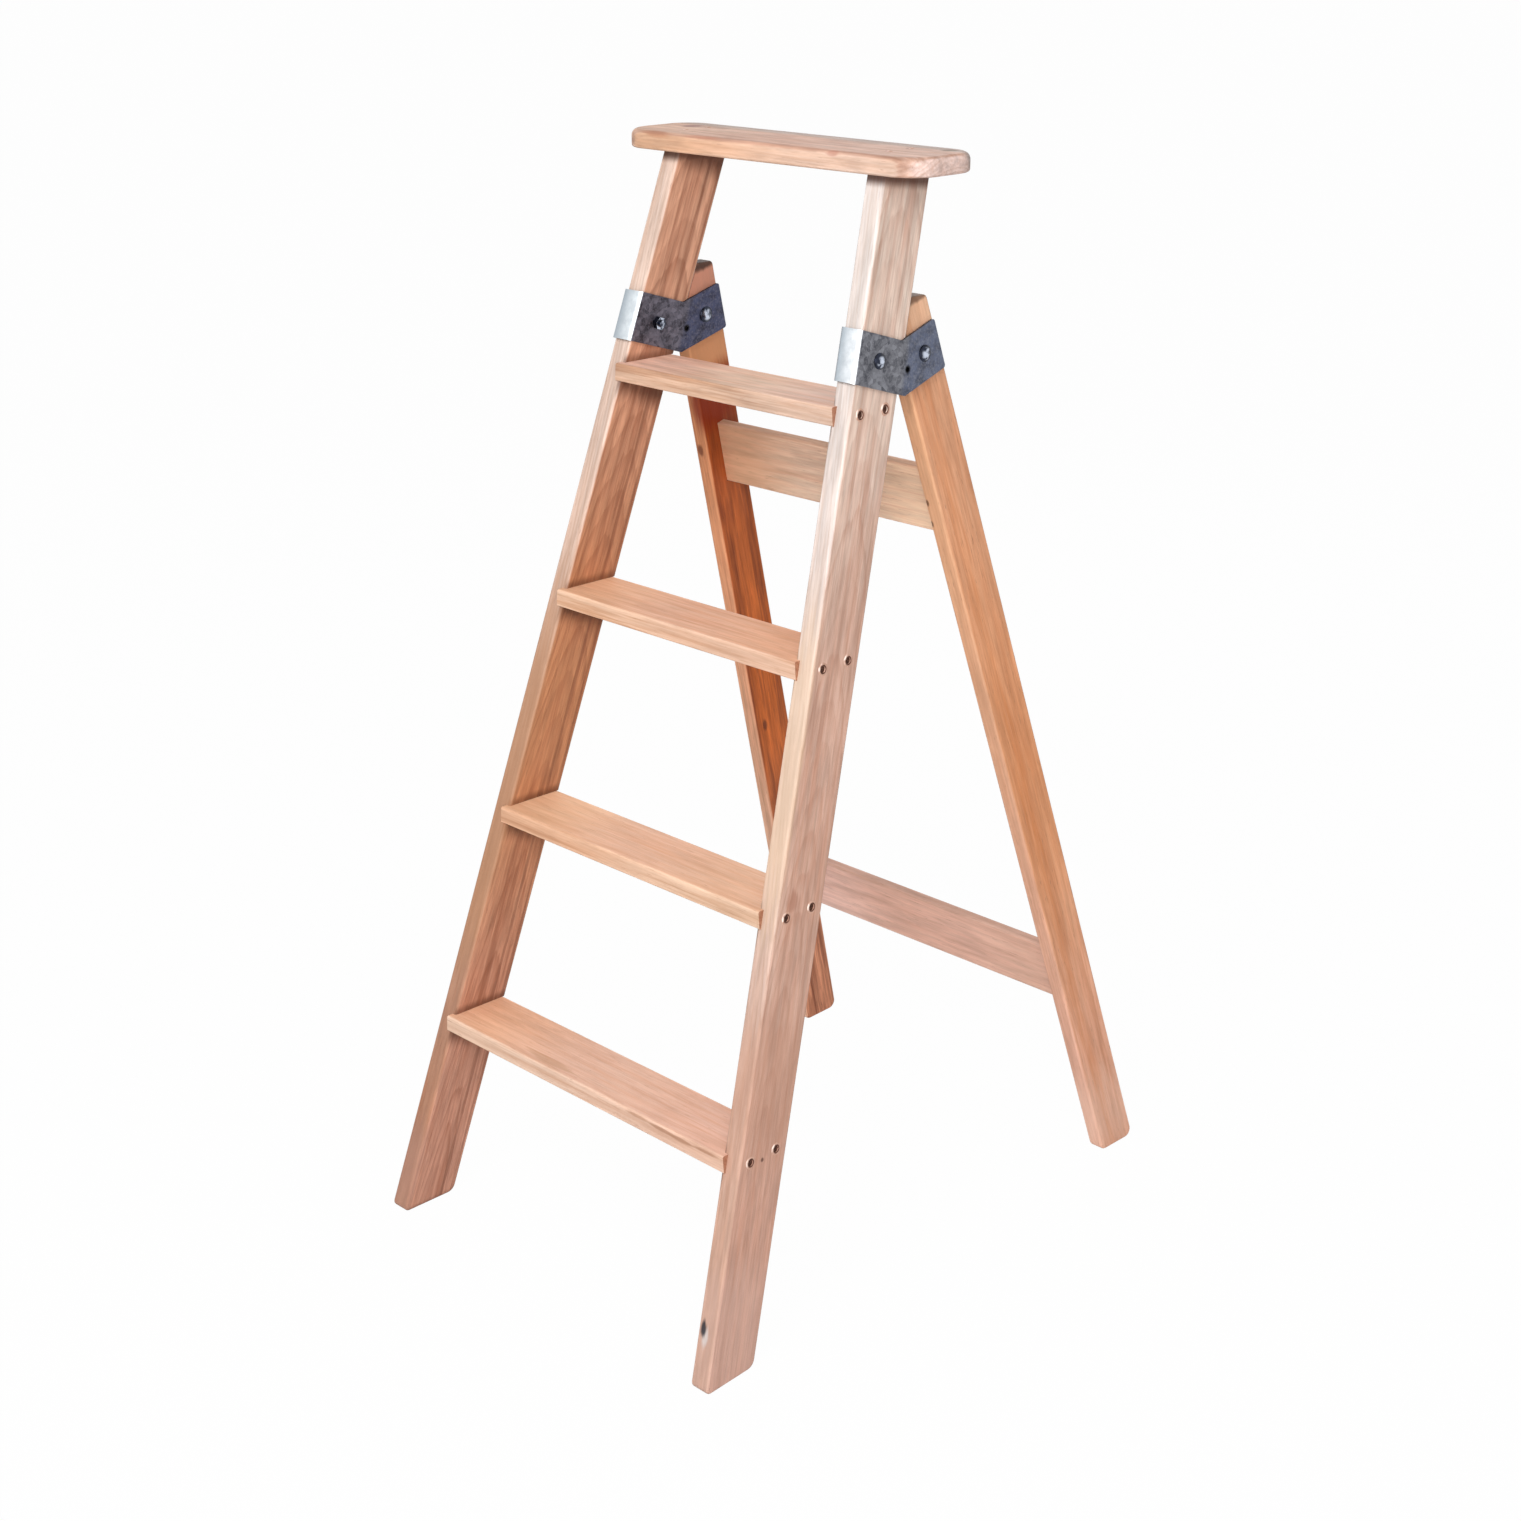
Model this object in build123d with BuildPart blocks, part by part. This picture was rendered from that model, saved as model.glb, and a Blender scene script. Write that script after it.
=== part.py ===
from build123d import *

import os
from math import acos, cos, degrees, radians, sin, sqrt, tan

# A folding wooden stepladder. Two leaning stiles carry four housed treads and a cap, and a rear
# frame of two legs and two rails hangs from a bent steel bracket at the head of each stile.
# The front is -Y, right is +X, Z is up, and the left side mirrors the right one in the YZ plane.
# The origin lies on the floor, midway between the front feet and the rear feet.
# Sizes are in millimetres and angles in degrees. The ladder is drawn open.

# Driving sizes: the two frames
ladder_height = 1246.5  # floor to the top of the cap
first_rise = 247.0  # floor to the lowest tread
step_rise = 251.0  # tread to tread
tread_count = 4
front_lean = 17.0  # stiles lean back
rear_lean = 16.8  # legs lean forward
splay = 4.9  # stiles and legs spread towards the floor, each within its own frame
foot_half_width = 260.0  # centre of the ladder to the middle of a stile, on the floor

# Driving sizes: boards
stile_thickness = 25.0
stile_depth = 71.0
leg_depth = 58.5
leg_above_pivot = 59.0  # height of the leg's flat top over the fold axis
tread_thickness = 20.0
tread_front_overhang = 2.0  # lower front edge of a tread, in front of the stile's front face
tread_back_inset = 2.0  # bevelled rear edge of a tread, in from the stile's rear face
housing_depth = 6.0  # treads let into the stiles
cap_thickness = 20.0
cap_front_overhang = 18.0
cap_rear_overhang = 17.0
cap_side_overhang = 55.5
cap_corner_radius = 36.0
rail_thickness = 12.0
rail_width = 78.0
upper_rail_drop = 177.5  # fold axis to the middle of the upper rail, along the leg
lower_rail_rise = 262.0  # floor to the middle of the lower rail, along the leg
mortise_depth = 8.0  # rails let into the legs

# Driving sizes: rounded wood edges
board_round = 3.0
tread_round = 2.0
rail_round = 2.0
cap_top_round = 8.0
cap_under_round = 3.0
stile_toe_round = 6.0
stile_heel_round = 12.0
leg_foot_round = 10.0
leg_head_round = 5.0

# Driving sizes: steel
bracket_gauge = 2.5
bracket_width = 55.0  # strap width, measured along the stile
bracket_corner_radius = 3.0
bracket_over_tread = 0.8  # lowest corner of the strap over the top tread
spare_hole_radius = 3.0
spare_hole_behind_stile = 6.5
strap_short_of_leg = 2.5  # rear end of the strap, in from the leg's rear face
bolt_inset = 31.0  # bolt centre behind the stile's front face
bolt_radius = 4.0
bolt_head_radius = 8.5
bolt_head_height = 4.0
bolt_tail = 3.0  # thread showing past the nut
nut_across_flats = 13.0
nut_thickness = 6.0
rivet_radius = 4.0
rivet_head_radius = 9.0
rivet_head_height = 4.0
head_rim = 0.8  # straight rim under a domed head
screw_radius = 2.0
screw_head_radius = 4.0
screw_head_angle = 90.0
screw_point = 5.0
tread_screw_length = 42.0
tread_screw_front_inset = 16.0  # from the stile's front face
tread_screw_rear_inset = 17.0  # from the stile's rear face
tread_screw_sink = 1.5  # heads driven below the face
cap_screw_length = 50.0
cap_screw_spacing = 34.0
cap_screw_sink = 1.0

# Driving sizes: clearances
fold_gap = 1.2  # folded leg to the stile's rear face
stop_gap = 0.3  # open leg to the stile's rear face
leg_side_gap = 2.6  # leg to each cheek of the bracket
bracket_fit = 0.1  # cheeks to the stile's sides
bracket_front_gap = 1.5  # web of the strap to the stile's front face
joint_fit = 0.1  # housings and mortises round the boards in them
running_fit = 0.08  # leg bore round the rivet
hole_fit = 0.05

# Directions of the two frames, seen in the YZ plane and square to the boards
lean_f = radians(front_lean)
lean_r = radians(rear_lean)
spread = radians(splay)
across = Vector(1, 0, 0)
front_up = Vector(0, sin(lean_f), cos(lean_f))
front_back = Vector(0, cos(lean_f), -sin(lean_f))
rear_up = Vector(0, -sin(lean_r), cos(lean_r))
rear_back = Vector(0, cos(lean_r), sin(lean_r))
stile_out = across * cos(spread) + front_up * sin(spread)
stile_along = front_up * cos(spread) - across * sin(spread)
leg_out = across * cos(spread) + rear_up * sin(spread)
leg_along = rear_up * cos(spread) - across * sin(spread)

# Heights
tread_tops = [first_rise + step_rise * number for number in range(tread_count)]
stile_top = ladder_height - cap_thickness

# The strap's turning point and the fold axis, as distances behind and above the stile's toe.
# The strap crosses the stile squarely, and at its rear face turns to lie square to the open leg.
fold_angle = front_lean + rear_lean
pivot_behind_stile = fold_gap + leg_depth / 2
half_turn = radians(fold_angle / 2)
mitre = (front_up + rear_up).normalized() * (bracket_width / 2 / cos(half_turn))
kink_z = tread_tops[-1] + bracket_over_tread + mitre.Z
kink_run = (stile_depth + kink_z * sin(lean_f)) / cos(lean_f)
arm = pivot_behind_stile / cos(radians(fold_angle))
pivot_run = kink_run + arm * cos(lean_r)
pivot_z = kink_z + arm * sin(lean_r)

# The toe is placed so that the feet, with their rounded corners, centre on the origin
leg_half = leg_depth / 2 / cos(lean_r)
heel_run = pivot_run + pivot_z * tan(lean_r) + leg_half
toe_loss = stile_toe_round * (tan(lean_f) + 1 / cos(lean_f) - 1)
heel_loss = leg_foot_round * (tan(lean_r) + 1 / cos(lean_r) - 1)
toe_y = -(heel_run - heel_loss + toe_loss) / 2
kink = Vector(0, toe_y + kink_run, kink_z)
pivot = Vector(0, toe_y + pivot_run, pivot_z)

# Middle planes and faces of the right-hand boards
reach = foot_half_width + stile_thickness
cheek_room = bracket_fit + bracket_gauge
stile_mid = Plane(origin=(foot_half_width, toe_y, 0), x_dir=front_back, z_dir=stile_out)
stile_outer = stile_mid.offset(stile_thickness / 2)
stile_inner = stile_mid.offset(-stile_thickness / 2)
housing_floor = stile_inner.offset(housing_depth)
cheek_outer = stile_outer.offset(cheek_room)
cheek_inner = stile_inner.offset(-cheek_room)


def crossing(plane, y, z):
    """Point of a leaning plane that is seen at y, z from the side."""
    normal = plane.z_dir
    rise = (y - plane.origin.Y) * normal.Y + (z - plane.origin.Z) * normal.Z
    return Vector(plane.origin.X - rise / normal.X, y, z)


leg_thickness = stile_thickness + 2 * bracket_fit - 2 * leg_side_gap
pivot_mid = crossing(stile_mid, pivot.Y, pivot.Z)
leg_mid = Plane(origin=pivot_mid, x_dir=rear_back, z_dir=leg_out)
leg_outer = leg_mid.offset(leg_thickness / 2)
leg_inner = leg_mid.offset(-leg_thickness / 2)
mortise_floor = leg_inner.offset(mortise_depth)


def front_face_y(z):
    """Front face of the stiles at height z."""
    return toe_y + z * tan(lean_f)


def rear_face_y(z):
    """Rear face of the stiles at height z."""
    return front_face_y(z) + stile_depth / cos(lean_f)


def leg_centre_y(z):
    """Centre line of the legs at height z."""
    return pivot.Y + (pivot.Z - z) * tan(lean_r)


# Seats of the screws that hold the right-hand ends of the treads: square to the stile's outer
# face, and aimed at the middle of the tread's thickness where its end meets the housing
tread_screw_seats = []
for top in tread_tops:
    middle = top - tread_thickness / 2
    for inset in (tread_screw_front_inset, stile_depth - tread_screw_rear_inset):
        aim = crossing(housing_floor, front_face_y(middle) + inset / cos(lean_f), middle)
        seat = aim + stile_out * (stile_thickness - housing_depth - tread_screw_sink)
        tread_screw_seats.append(Plane(origin=seat, x_dir=front_back, z_dir=stile_out))

# Seats of the cap screws, upright over the middle of the right-hand stile's top
cap_mid_y = (front_face_y(stile_top) + rear_face_y(stile_top)) / 2
cap_screw_seats = []
for side in (-1, 1):
    over = crossing(stile_mid, cap_mid_y + side * cap_screw_spacing / 2, stile_top)
    cap_screw_seats.append(Plane(origin=(over.X, over.Y, ladder_height - cap_screw_sink)))

# Bolt through the stile and both cheeks, square to them, on the strap's centre line
bolt_spot = kink - front_back * (stile_depth - bolt_inset)
bolt_mid = crossing(stile_mid, bolt_spot.Y, bolt_spot.Z)
bolt_grip = stile_thickness + 2 * cheek_room
bolt_end = stile_out * (bolt_grip / 2)
bolt_seat = Plane(origin=bolt_mid + bolt_end, x_dir=front_back, z_dir=stile_out)
nut_seat = Plane(origin=bolt_mid - bolt_end, x_dir=front_back, z_dir=-stile_out)

# Housings for the treads: level slabs that end at the housing floor of the right-hand stile
with BuildPart() as tread_housings:
    for top in tread_tops:
        with BuildSketch(Plane.XY.offset(top - tread_thickness)):
            Rectangle(2 * reach, 4 * reach)
        extrude(amount=tread_thickness + joint_fit)
    split(bisect_by=housing_floor, keep=Keep.BOTTOM)

# Stile: side outline with rounded toe and heel, cut to the board by its two leaning faces
with BuildPart() as stile_right:
    with BuildSketch(Plane.YZ) as stile_side:
        with BuildLine():
            Polyline(
                (front_face_y(0), 0),
                (rear_face_y(0), 0),
                (rear_face_y(stile_top), stile_top),
                (front_face_y(stile_top), stile_top),
                close=True,
            )
        make_face()
        foot_corners = stile_side.vertices().group_by(Axis.Y)[0].sort_by(Axis.X)
        fillet(foot_corners[0], radius=stile_toe_round)
        foot_corners = stile_side.vertices().group_by(Axis.Y)[0].sort_by(Axis.X)
        fillet(foot_corners[-1], radius=stile_heel_round)
    extrude(amount=reach)
    split(bisect_by=stile_outer, keep=Keep.BOTTOM)
    split(bisect_by=stile_inner, keep=Keep.TOP)
    fillet(stile_right.edges().filter_by(Axis((0, 0, 0), stile_along)), radius=board_round)
    add(tread_housings.part, mode=Mode.SUBTRACT)
    with Locations(*tread_screw_seats):
        CounterSinkHole(
            radius=screw_radius + hole_fit,
            counter_sink_radius=screw_head_radius + hole_fit,
            depth=stile_thickness,
            counter_sink_angle=screw_head_angle,
        )
    with Locations(bolt_seat):
        Hole(radius=bolt_radius + hole_fit, depth=2 * stile_thickness)
    with Locations(*cap_screw_seats):
        Hole(radius=screw_radius + hole_fit, depth=cap_screw_length + joint_fit)

with BuildPart() as stile_left:
    mirror(stile_right.part, about=Plane.YZ)

# Treads: boards with an upright front edge and a rear edge bevelled along the stiles, half drawn
# and mirrored, with their ends cut to the housing floors
treads = []
for top in tread_tops:
    under = top - tread_thickness
    tread_front = front_face_y(under) - tread_front_overhang
    with BuildPart() as tread:
        with BuildSketch(Plane.YZ):
            with BuildLine():
                Polyline(
                    (tread_front, under),
                    (rear_face_y(under) - tread_back_inset, under),
                    (rear_face_y(top) - tread_back_inset, top),
                    (tread_front, top),
                    close=True,
                )
            make_face()
        extrude(amount=reach)
        split(bisect_by=housing_floor.offset(-joint_fit), keep=Keep.BOTTOM)
        fillet(tread.edges().filter_by(Axis.X), radius=tread_round)
        with Locations(*tread_screw_seats):
            Hole(radius=screw_radius + hole_fit, depth=tread_screw_length + joint_fit)
        mirror(about=Plane.YZ)
    treads.append(tread)

# Cap: a rounded board resting on both stiles
cap_half_length = crossing(stile_outer, cap_mid_y, stile_top).X + cap_side_overhang
cap_front = front_face_y(stile_top) - cap_front_overhang
cap_back = rear_face_y(stile_top) + cap_rear_overhang
with BuildPart() as top_cap:
    with BuildSketch(Plane.XY.offset(ladder_height)):
        with Locations((0, (cap_front + cap_back) / 2)):
            RectangleRounded(2 * cap_half_length, cap_back - cap_front, cap_corner_radius)
    extrude(amount=-cap_thickness)
    fillet(top_cap.edges().group_by(Axis.Z)[-1], radius=cap_top_round)
    fillet(top_cap.edges().group_by(Axis.Z)[0], radius=cap_under_round)
    with Locations(*cap_screw_seats):
        CounterSinkHole(
            radius=screw_radius + hole_fit,
            counter_sink_radius=screw_head_radius + hole_fit,
            depth=cap_thickness,
            counter_sink_angle=screw_head_angle,
        )
    split(bisect_by=Plane.YZ, keep=Keep.TOP)
    mirror(about=Plane.YZ)

# Hinge bracket: a strap bent to a U round the stile's front edge, trimmed to a chevron
strap_room = stile_depth + pivot_behind_stile + leg_depth
strap_spot = crossing(stile_mid, kink.Y, kink.Z) - front_back * stile_depth
strap_section = Plane(origin=strap_spot, x_dir=stile_out, z_dir=stile_along)
web_front = bracket_front_gap + bracket_gauge
rear_arm = arm + leg_depth / 2 - strap_short_of_leg
strap_half = bracket_width / 2
toe_end = kink - front_back * (strap_room + web_front)
heel_end = kink + rear_back * rear_arm
spare_hole = kink + front_back * spare_hole_behind_stile
with BuildPart() as bracket_right:
    with BuildSketch(strap_section):
        with Locations((0, strap_room - web_front)):
            RectangleRounded(
                stile_thickness + 2 * cheek_room,
                2 * strap_room,
                board_round + cheek_room,
            )
        with Locations((0, strap_room - bracket_front_gap)):
            RectangleRounded(
                stile_thickness + 2 * bracket_fit,
                2 * strap_room,
                board_round + bracket_fit,
                mode=Mode.SUBTRACT,
            )
    extrude(amount=2 * bracket_width, both=True)
    with BuildSketch(Plane.YZ) as chevron:
        with BuildLine():
            Polyline(
                *[
                    (spot.Y, spot.Z)
                    for spot in (
                        toe_end - front_up * strap_half,
                        kink - mitre,
                        heel_end - rear_up * strap_half,
                        heel_end + rear_up * strap_half,
                        kink + mitre,
                        toe_end + front_up * strap_half,
                    )
                ],
                close=True,
            )
        make_face()
        fillet(chevron.vertices().sort_by(Axis.X)[-2:], radius=bracket_corner_radius)
    extrude(amount=reach, mode=Mode.INTERSECT)
    with BuildSketch(Plane.YZ):
        with Locations((pivot.Y, pivot.Z)):
            Circle(rivet_radius + hole_fit)
        with Locations((spare_hole.Y, spare_hole.Z)):
            Circle(spare_hole_radius)
    extrude(amount=reach, mode=Mode.SUBTRACT)
    with Locations(bolt_seat):
        Hole(radius=bolt_radius + hole_fit, depth=2 * stile_thickness)

with BuildPart() as bracket_left:
    mirror(bracket_right.part, about=Plane.YZ)

# Leg: its head is rounded about the fold axis, so that it turns clear of the stile, and bevelled
# in front, so that it comes to rest against the stile's rear face when the ladder is open
leg_top = pivot.Z + leg_above_pivot
head_radius = pivot_behind_stile - stop_gap
head_turn = fold_angle - degrees(acos(leg_depth / 2 / head_radius))
head_rise = sqrt(head_radius**2 - (leg_depth / 2) ** 2)
bevel_start = pivot - front_back * head_radius
front_start = pivot - rear_back * (leg_depth / 2) + rear_up * head_rise


def rail_outline(middle, clearance):
    """Rail section in the rear frame, grown by a clearance all round."""
    with Locations((middle.Y, middle.Z)):
        Rectangle(
            rail_thickness + 2 * clearance,
            rail_width + 2 * clearance,
            rotation=rear_lean,
        )


upper_rail_mid = pivot - rear_up * upper_rail_drop
lower_rail_mid = Vector(0, leg_centre_y(0), 0) + rear_up * lower_rail_rise

with BuildPart() as mortises:
    with BuildSketch(Plane.YZ):
        for middle in (upper_rail_mid, lower_rail_mid):
            rail_outline(middle, joint_fit)
    extrude(amount=reach)
    split(bisect_by=mortise_floor, keep=Keep.BOTTOM)

with BuildPart() as leg_right:
    with BuildSketch(Plane.YZ) as leg_side:
        with BuildLine():
            CenterArc((pivot.Y, pivot.Z), head_radius, 180 - front_lean, head_turn)
            Polyline(
                (front_start.Y, front_start.Z),
                (leg_centre_y(0) - leg_half, 0),
                (leg_centre_y(0) + leg_half, 0),
                (leg_centre_y(leg_top) + leg_half, leg_top),
                (rear_face_y(leg_top) + stop_gap / cos(lean_f), leg_top),
                (bevel_start.Y, bevel_start.Z),
            )
        make_face()
        fillet(leg_side.vertices().group_by(Axis.Y)[0], radius=leg_foot_round)
        fillet(leg_side.vertices().group_by(Axis.Y)[-1].sort_by(Axis.X)[-1], radius=leg_head_round)
    extrude(amount=reach)
    split(bisect_by=leg_outer, keep=Keep.BOTTOM)
    split(bisect_by=leg_inner, keep=Keep.TOP)
    fillet(leg_right.edges().filter_by(Axis((0, 0, 0), leg_along)), radius=board_round)
    add(mortises.part, mode=Mode.SUBTRACT)
    with BuildSketch(Plane.YZ):
        with Locations((pivot.Y, pivot.Z)):
            Circle(rivet_radius + running_fit)
    extrude(amount=reach, mode=Mode.SUBTRACT)

with BuildPart() as leg_left:
    mirror(leg_right.part, about=Plane.YZ)

# Rails: boards across the rear frame, half drawn and mirrored, tenoned into the legs
rails = []
for middle in (upper_rail_mid, lower_rail_mid):
    with BuildPart() as rail:
        with BuildSketch(Plane.YZ):
            rail_outline(middle, 0)
        extrude(amount=reach)
        split(bisect_by=mortise_floor.offset(-joint_fit), keep=Keep.BOTTOM)
        fillet(rail.edges().filter_by(Axis.X), radius=rail_round)
        mirror(about=Plane.YZ)
    rails.append(rail)


def screw(length):
    """Countersunk wood screw, its head level with z = 0 and its shank pointing down."""
    neck = (screw_head_radius - screw_radius) / tan(radians(screw_head_angle / 2))
    with BuildPart() as one:
        with BuildSketch(Plane.XZ):
            with BuildLine():
                Polyline(
                    (0, 0),
                    (screw_head_radius, 0),
                    (screw_radius, -neck),
                    (screw_radius, screw_point - length),
                    (0, -length),
                    close=True,
                )
            make_face()
        revolve(axis=Axis.Z)
    return one.part


def dome(radius, height, skirt):
    """Domed head on the plane z = 0, with a plain skirt below it."""
    with BuildPart() as one:
        with BuildSketch(Plane.XZ):
            with BuildLine():
                TangentArc((0, height), (radius, head_rim), tangent=(1, 0))
                Polyline((radius, head_rim), (radius, -skirt), (0, -skirt), (0, height))
            make_face()
        revolve(axis=Axis.Z)
    return one.part


# Screws, eight in each stile and two in the cap over each stile
tread_screw = screw(tread_screw_length)
with BuildPart() as tread_screws_right:
    with Locations(*tread_screw_seats):
        add(tread_screw)

with BuildPart() as tread_screws_left:
    mirror(tread_screws_right.part, about=Plane.YZ)

cap_screw = screw(cap_screw_length)
with BuildPart() as cap_screws:
    with Locations(*cap_screw_seats):
        add(cap_screw)
    mirror(about=Plane.YZ)

# Bracket bolt with its domed head outside, and its nut inside
bolt_head = dome(bolt_head_radius, bolt_head_height, 0)
with BuildPart() as bolt_right:
    with Locations(bolt_seat):
        add(bolt_head)
        Cylinder(
            bolt_radius,
            bolt_grip + nut_thickness + bolt_tail,
            align=(Align.CENTER, Align.CENTER, Align.MAX),
        )

with BuildPart() as bolt_left:
    mirror(bolt_right.part, about=Plane.YZ)

with BuildPart() as nut_right:
    with BuildSketch(nut_seat):
        RegularPolygon(nut_across_flats / 2, 6, major_radius=False)
        Circle(bolt_radius + hole_fit, mode=Mode.SUBTRACT)
    extrude(amount=nut_thickness)

with BuildPart() as nut_left:
    mirror(nut_right.part, about=Plane.YZ)

# Pivot rivet along the fold axis, its two heads formed against the leaning cheeks
rivet_outer = crossing(cheek_outer, pivot.Y, pivot.Z)
rivet_inner = crossing(cheek_inner, pivot.Y, pivot.Z)
rivet_head = dome(rivet_head_radius, rivet_head_height, rivet_head_radius)
with BuildPart() as rivet_head_outer:
    with Locations(Plane(origin=rivet_outer, z_dir=across)):
        add(rivet_head)
    split(bisect_by=cheek_outer, keep=Keep.TOP)

with BuildPart() as rivet_head_inner:
    with Locations(Plane(origin=rivet_inner, z_dir=-across)):
        add(rivet_head)
    split(bisect_by=cheek_inner, keep=Keep.BOTTOM)

with BuildPart() as rivet_right:
    add(rivet_head_outer.part)
    add(rivet_head_inner.part)
    with BuildSketch(Plane(origin=rivet_inner, z_dir=across)):
        Circle(rivet_radius)
    extrude(amount=rivet_outer.X - rivet_inner.X)

with BuildPart() as rivet_left:
    mirror(rivet_right.part, about=Plane.YZ)

pieces = {
    "stile_left": stile_left,
    "stile_right": stile_right,
    "top_cap": top_cap,
    "tread_screws_left": tread_screws_left,
    "tread_screws_right": tread_screws_right,
    "cap_screws": cap_screws,
    "hinge_bracket_left": bracket_left,
    "hinge_bracket_right": bracket_right,
    "bracket_bolt_left": bolt_left,
    "bracket_bolt_right": bolt_right,
    "bracket_nut_left": nut_left,
    "bracket_nut_right": nut_right,
    "pivot_rivet_left": rivet_left,
    "pivot_rivet_right": rivet_right,
    "rear_leg_left": leg_left,
    "rear_leg_right": leg_right,
    "upper_rail": rails[0],
    "lower_rail": rails[1],
}
for number, tread in enumerate(treads, start=1):
    pieces[f"tread_{number}"] = tread

os.makedirs("parts", exist_ok=True)
for name, piece in pieces.items():
    piece.part.label = name
    export_step(piece.part, f"parts/{name}.step")

print(f"fold axis at y {pivot.Y:.2f}, z {pivot.Z:.2f}, turning {fold_angle:.1f} degrees")
print(f"leg thickness {leg_thickness:.2f}, toe at y {toe_y:.2f}")
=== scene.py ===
# %% [markdown]
# # A folding wooden stepladder
# The shape of this ladder comes from CAD solids: two stiles, four treads, a cap, a rear frame and the
# steel that joins them. This lesson gives the solids their looks in Blender. Wood gets grain along each
# board, steel gets its zinc, and the screws get threads and cross slots. Lengths are in metres, the
# front is -Y, the climber's right is +X, and Z is up.

# %% Load the frame
from math import pi, radians

import bmesh
import bpy
import numpy as np
from mathutils import Matrix, Vector


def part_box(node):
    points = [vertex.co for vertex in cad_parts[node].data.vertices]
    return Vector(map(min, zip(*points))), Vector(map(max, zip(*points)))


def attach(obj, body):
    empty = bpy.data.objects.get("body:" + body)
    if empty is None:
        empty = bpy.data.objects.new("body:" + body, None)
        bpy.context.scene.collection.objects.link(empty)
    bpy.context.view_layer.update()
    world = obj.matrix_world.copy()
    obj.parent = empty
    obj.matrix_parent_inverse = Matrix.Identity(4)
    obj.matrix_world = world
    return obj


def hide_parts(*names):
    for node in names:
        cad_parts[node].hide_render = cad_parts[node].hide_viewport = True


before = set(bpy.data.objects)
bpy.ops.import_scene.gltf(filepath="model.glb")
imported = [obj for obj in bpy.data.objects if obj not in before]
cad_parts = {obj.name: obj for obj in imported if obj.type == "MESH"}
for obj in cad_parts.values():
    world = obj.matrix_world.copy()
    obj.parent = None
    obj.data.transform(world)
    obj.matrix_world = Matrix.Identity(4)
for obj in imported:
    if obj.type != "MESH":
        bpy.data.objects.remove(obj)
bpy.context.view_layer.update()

scene = bpy.context.scene

# %% [markdown]
# ## The directions of a board
# Grain runs along a board, and every board of the ladder leans its own way. The directions could be
# typed in from the drawing. Reading them from the mesh is safer, because they follow the part when a
# size changes. The mesh is made of triangles, so the areas of those that look the same way are added
# up first. The broadest faces look along the thickness, the broadest ones square to these look along
# the width, and the grain is square to both.

# %% Measure the boards
BOARDS = [
    "stile_left", "stile_right", "tread_1", "tread_2", "tread_3", "tread_4", "top_cap",
    "rear_leg_left", "rear_leg_right", "upper_rail", "lower_rail",
]
LARGEST = 300  # triangles of a board that are compared
SAME_WAY = 0.9999  # cosine between two normals that look the same way
SQUARE = 0.02  # cosine between two normals that are square to each other
UPRIGHT = 0.5  # rise of the grain above which a board counts as upright


def points_of(name):
    """All vertices of a CAD node, as rows of x, y, z."""
    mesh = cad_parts[name].data
    flat = np.empty(len(mesh.vertices) * 3)
    mesh.vertices.foreach_get("co", flat)
    return flat.reshape(-1, 3)


def board_frame(name):
    """Turn, middle and half size of a board. The turn's columns are grain, width and thickness."""
    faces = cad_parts[name].data.polygons
    normals, areas = np.empty(len(faces) * 3), np.empty(len(faces))
    faces.foreach_get("normal", normals)
    faces.foreach_get("area", areas)
    large = areas.argsort()[-LARGEST:]
    normals, areas = normals.reshape(-1, 3)[large], areas[large]
    shares = (np.abs(normals @ normals.T) > SAME_WAY) @ areas
    thick = normals[shares.argmax()]
    square = np.abs(normals @ thick) < SQUARE
    side = normals[np.where(square, shares, 0).argmax()]
    thick = thick * np.sign(thick[np.abs(thick).argmax()])
    grain = np.cross(side, thick)
    grain = grain * np.sign(grain[2] if abs(grain[2]) > UPRIGHT else grain[0])
    turn = np.stack([grain, np.cross(thick, grain), thick], axis=1)
    along = points_of(name) @ turn
    low, high = along.min(axis=0), along.max(axis=0)
    return turn, turn @ (low + high) / 2, (high - low) / 2


boards = {name: board_frame(name) for name in BOARDS}
for name, (turn, middle, half) in boards.items():
    print(f"{name:15s} grain {turn[:, 0].round(3)} size in mm {(half * 2000).round(1)}")

# %% [markdown]
# ## Short words for shader nodes
# A procedural material is a small program drawn as nodes and links. Written out in full, each node
# takes four or five lines of Python. Here one helper makes a node with its settings and inputs, and a
# few wrap the usual sums.

# %% Make groups, nodes and links
SOCKETS = {"value": "NodeSocketFloat", "vector": "NodeSocketVector", "colour": "NodeSocketColor"}


def new_group(name, inputs, outputs):
    """An empty node group, the sockets that it is given and the node that takes its results."""
    tree = bpy.data.node_groups.new(name, "ShaderNodeTree")
    for label, kind in inputs.items():
        tree.interface.new_socket(label, in_out="INPUT", socket_type=SOCKETS[kind])
    for label, kind in outputs.items():
        tree.interface.new_socket(label, in_out="OUTPUT", socket_type=SOCKETS[kind])
    return tree, tree.nodes.new("NodeGroupInput").outputs, tree.nodes.new("NodeGroupOutput")


def fill_sockets(tree, node, inputs):
    """Sets a node's inputs. Each is a plain value, or another node's output to link."""
    for key, value in inputs.items():
        if isinstance(value, bpy.types.NodeSocket):
            tree.links.new(value, node.inputs[key])
        else:
            node.inputs[key].default_value = value


def add_node(tree, kind, inputs=None, **settings):
    """One shader node with its settings and inputs."""
    node = tree.nodes.new(f"ShaderNode{kind}")
    for key, value in settings.items():
        setattr(node, key, value)
    fill_sockets(tree, node, inputs or {})
    return node


print("sockets:", ", ".join(SOCKETS))

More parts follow.
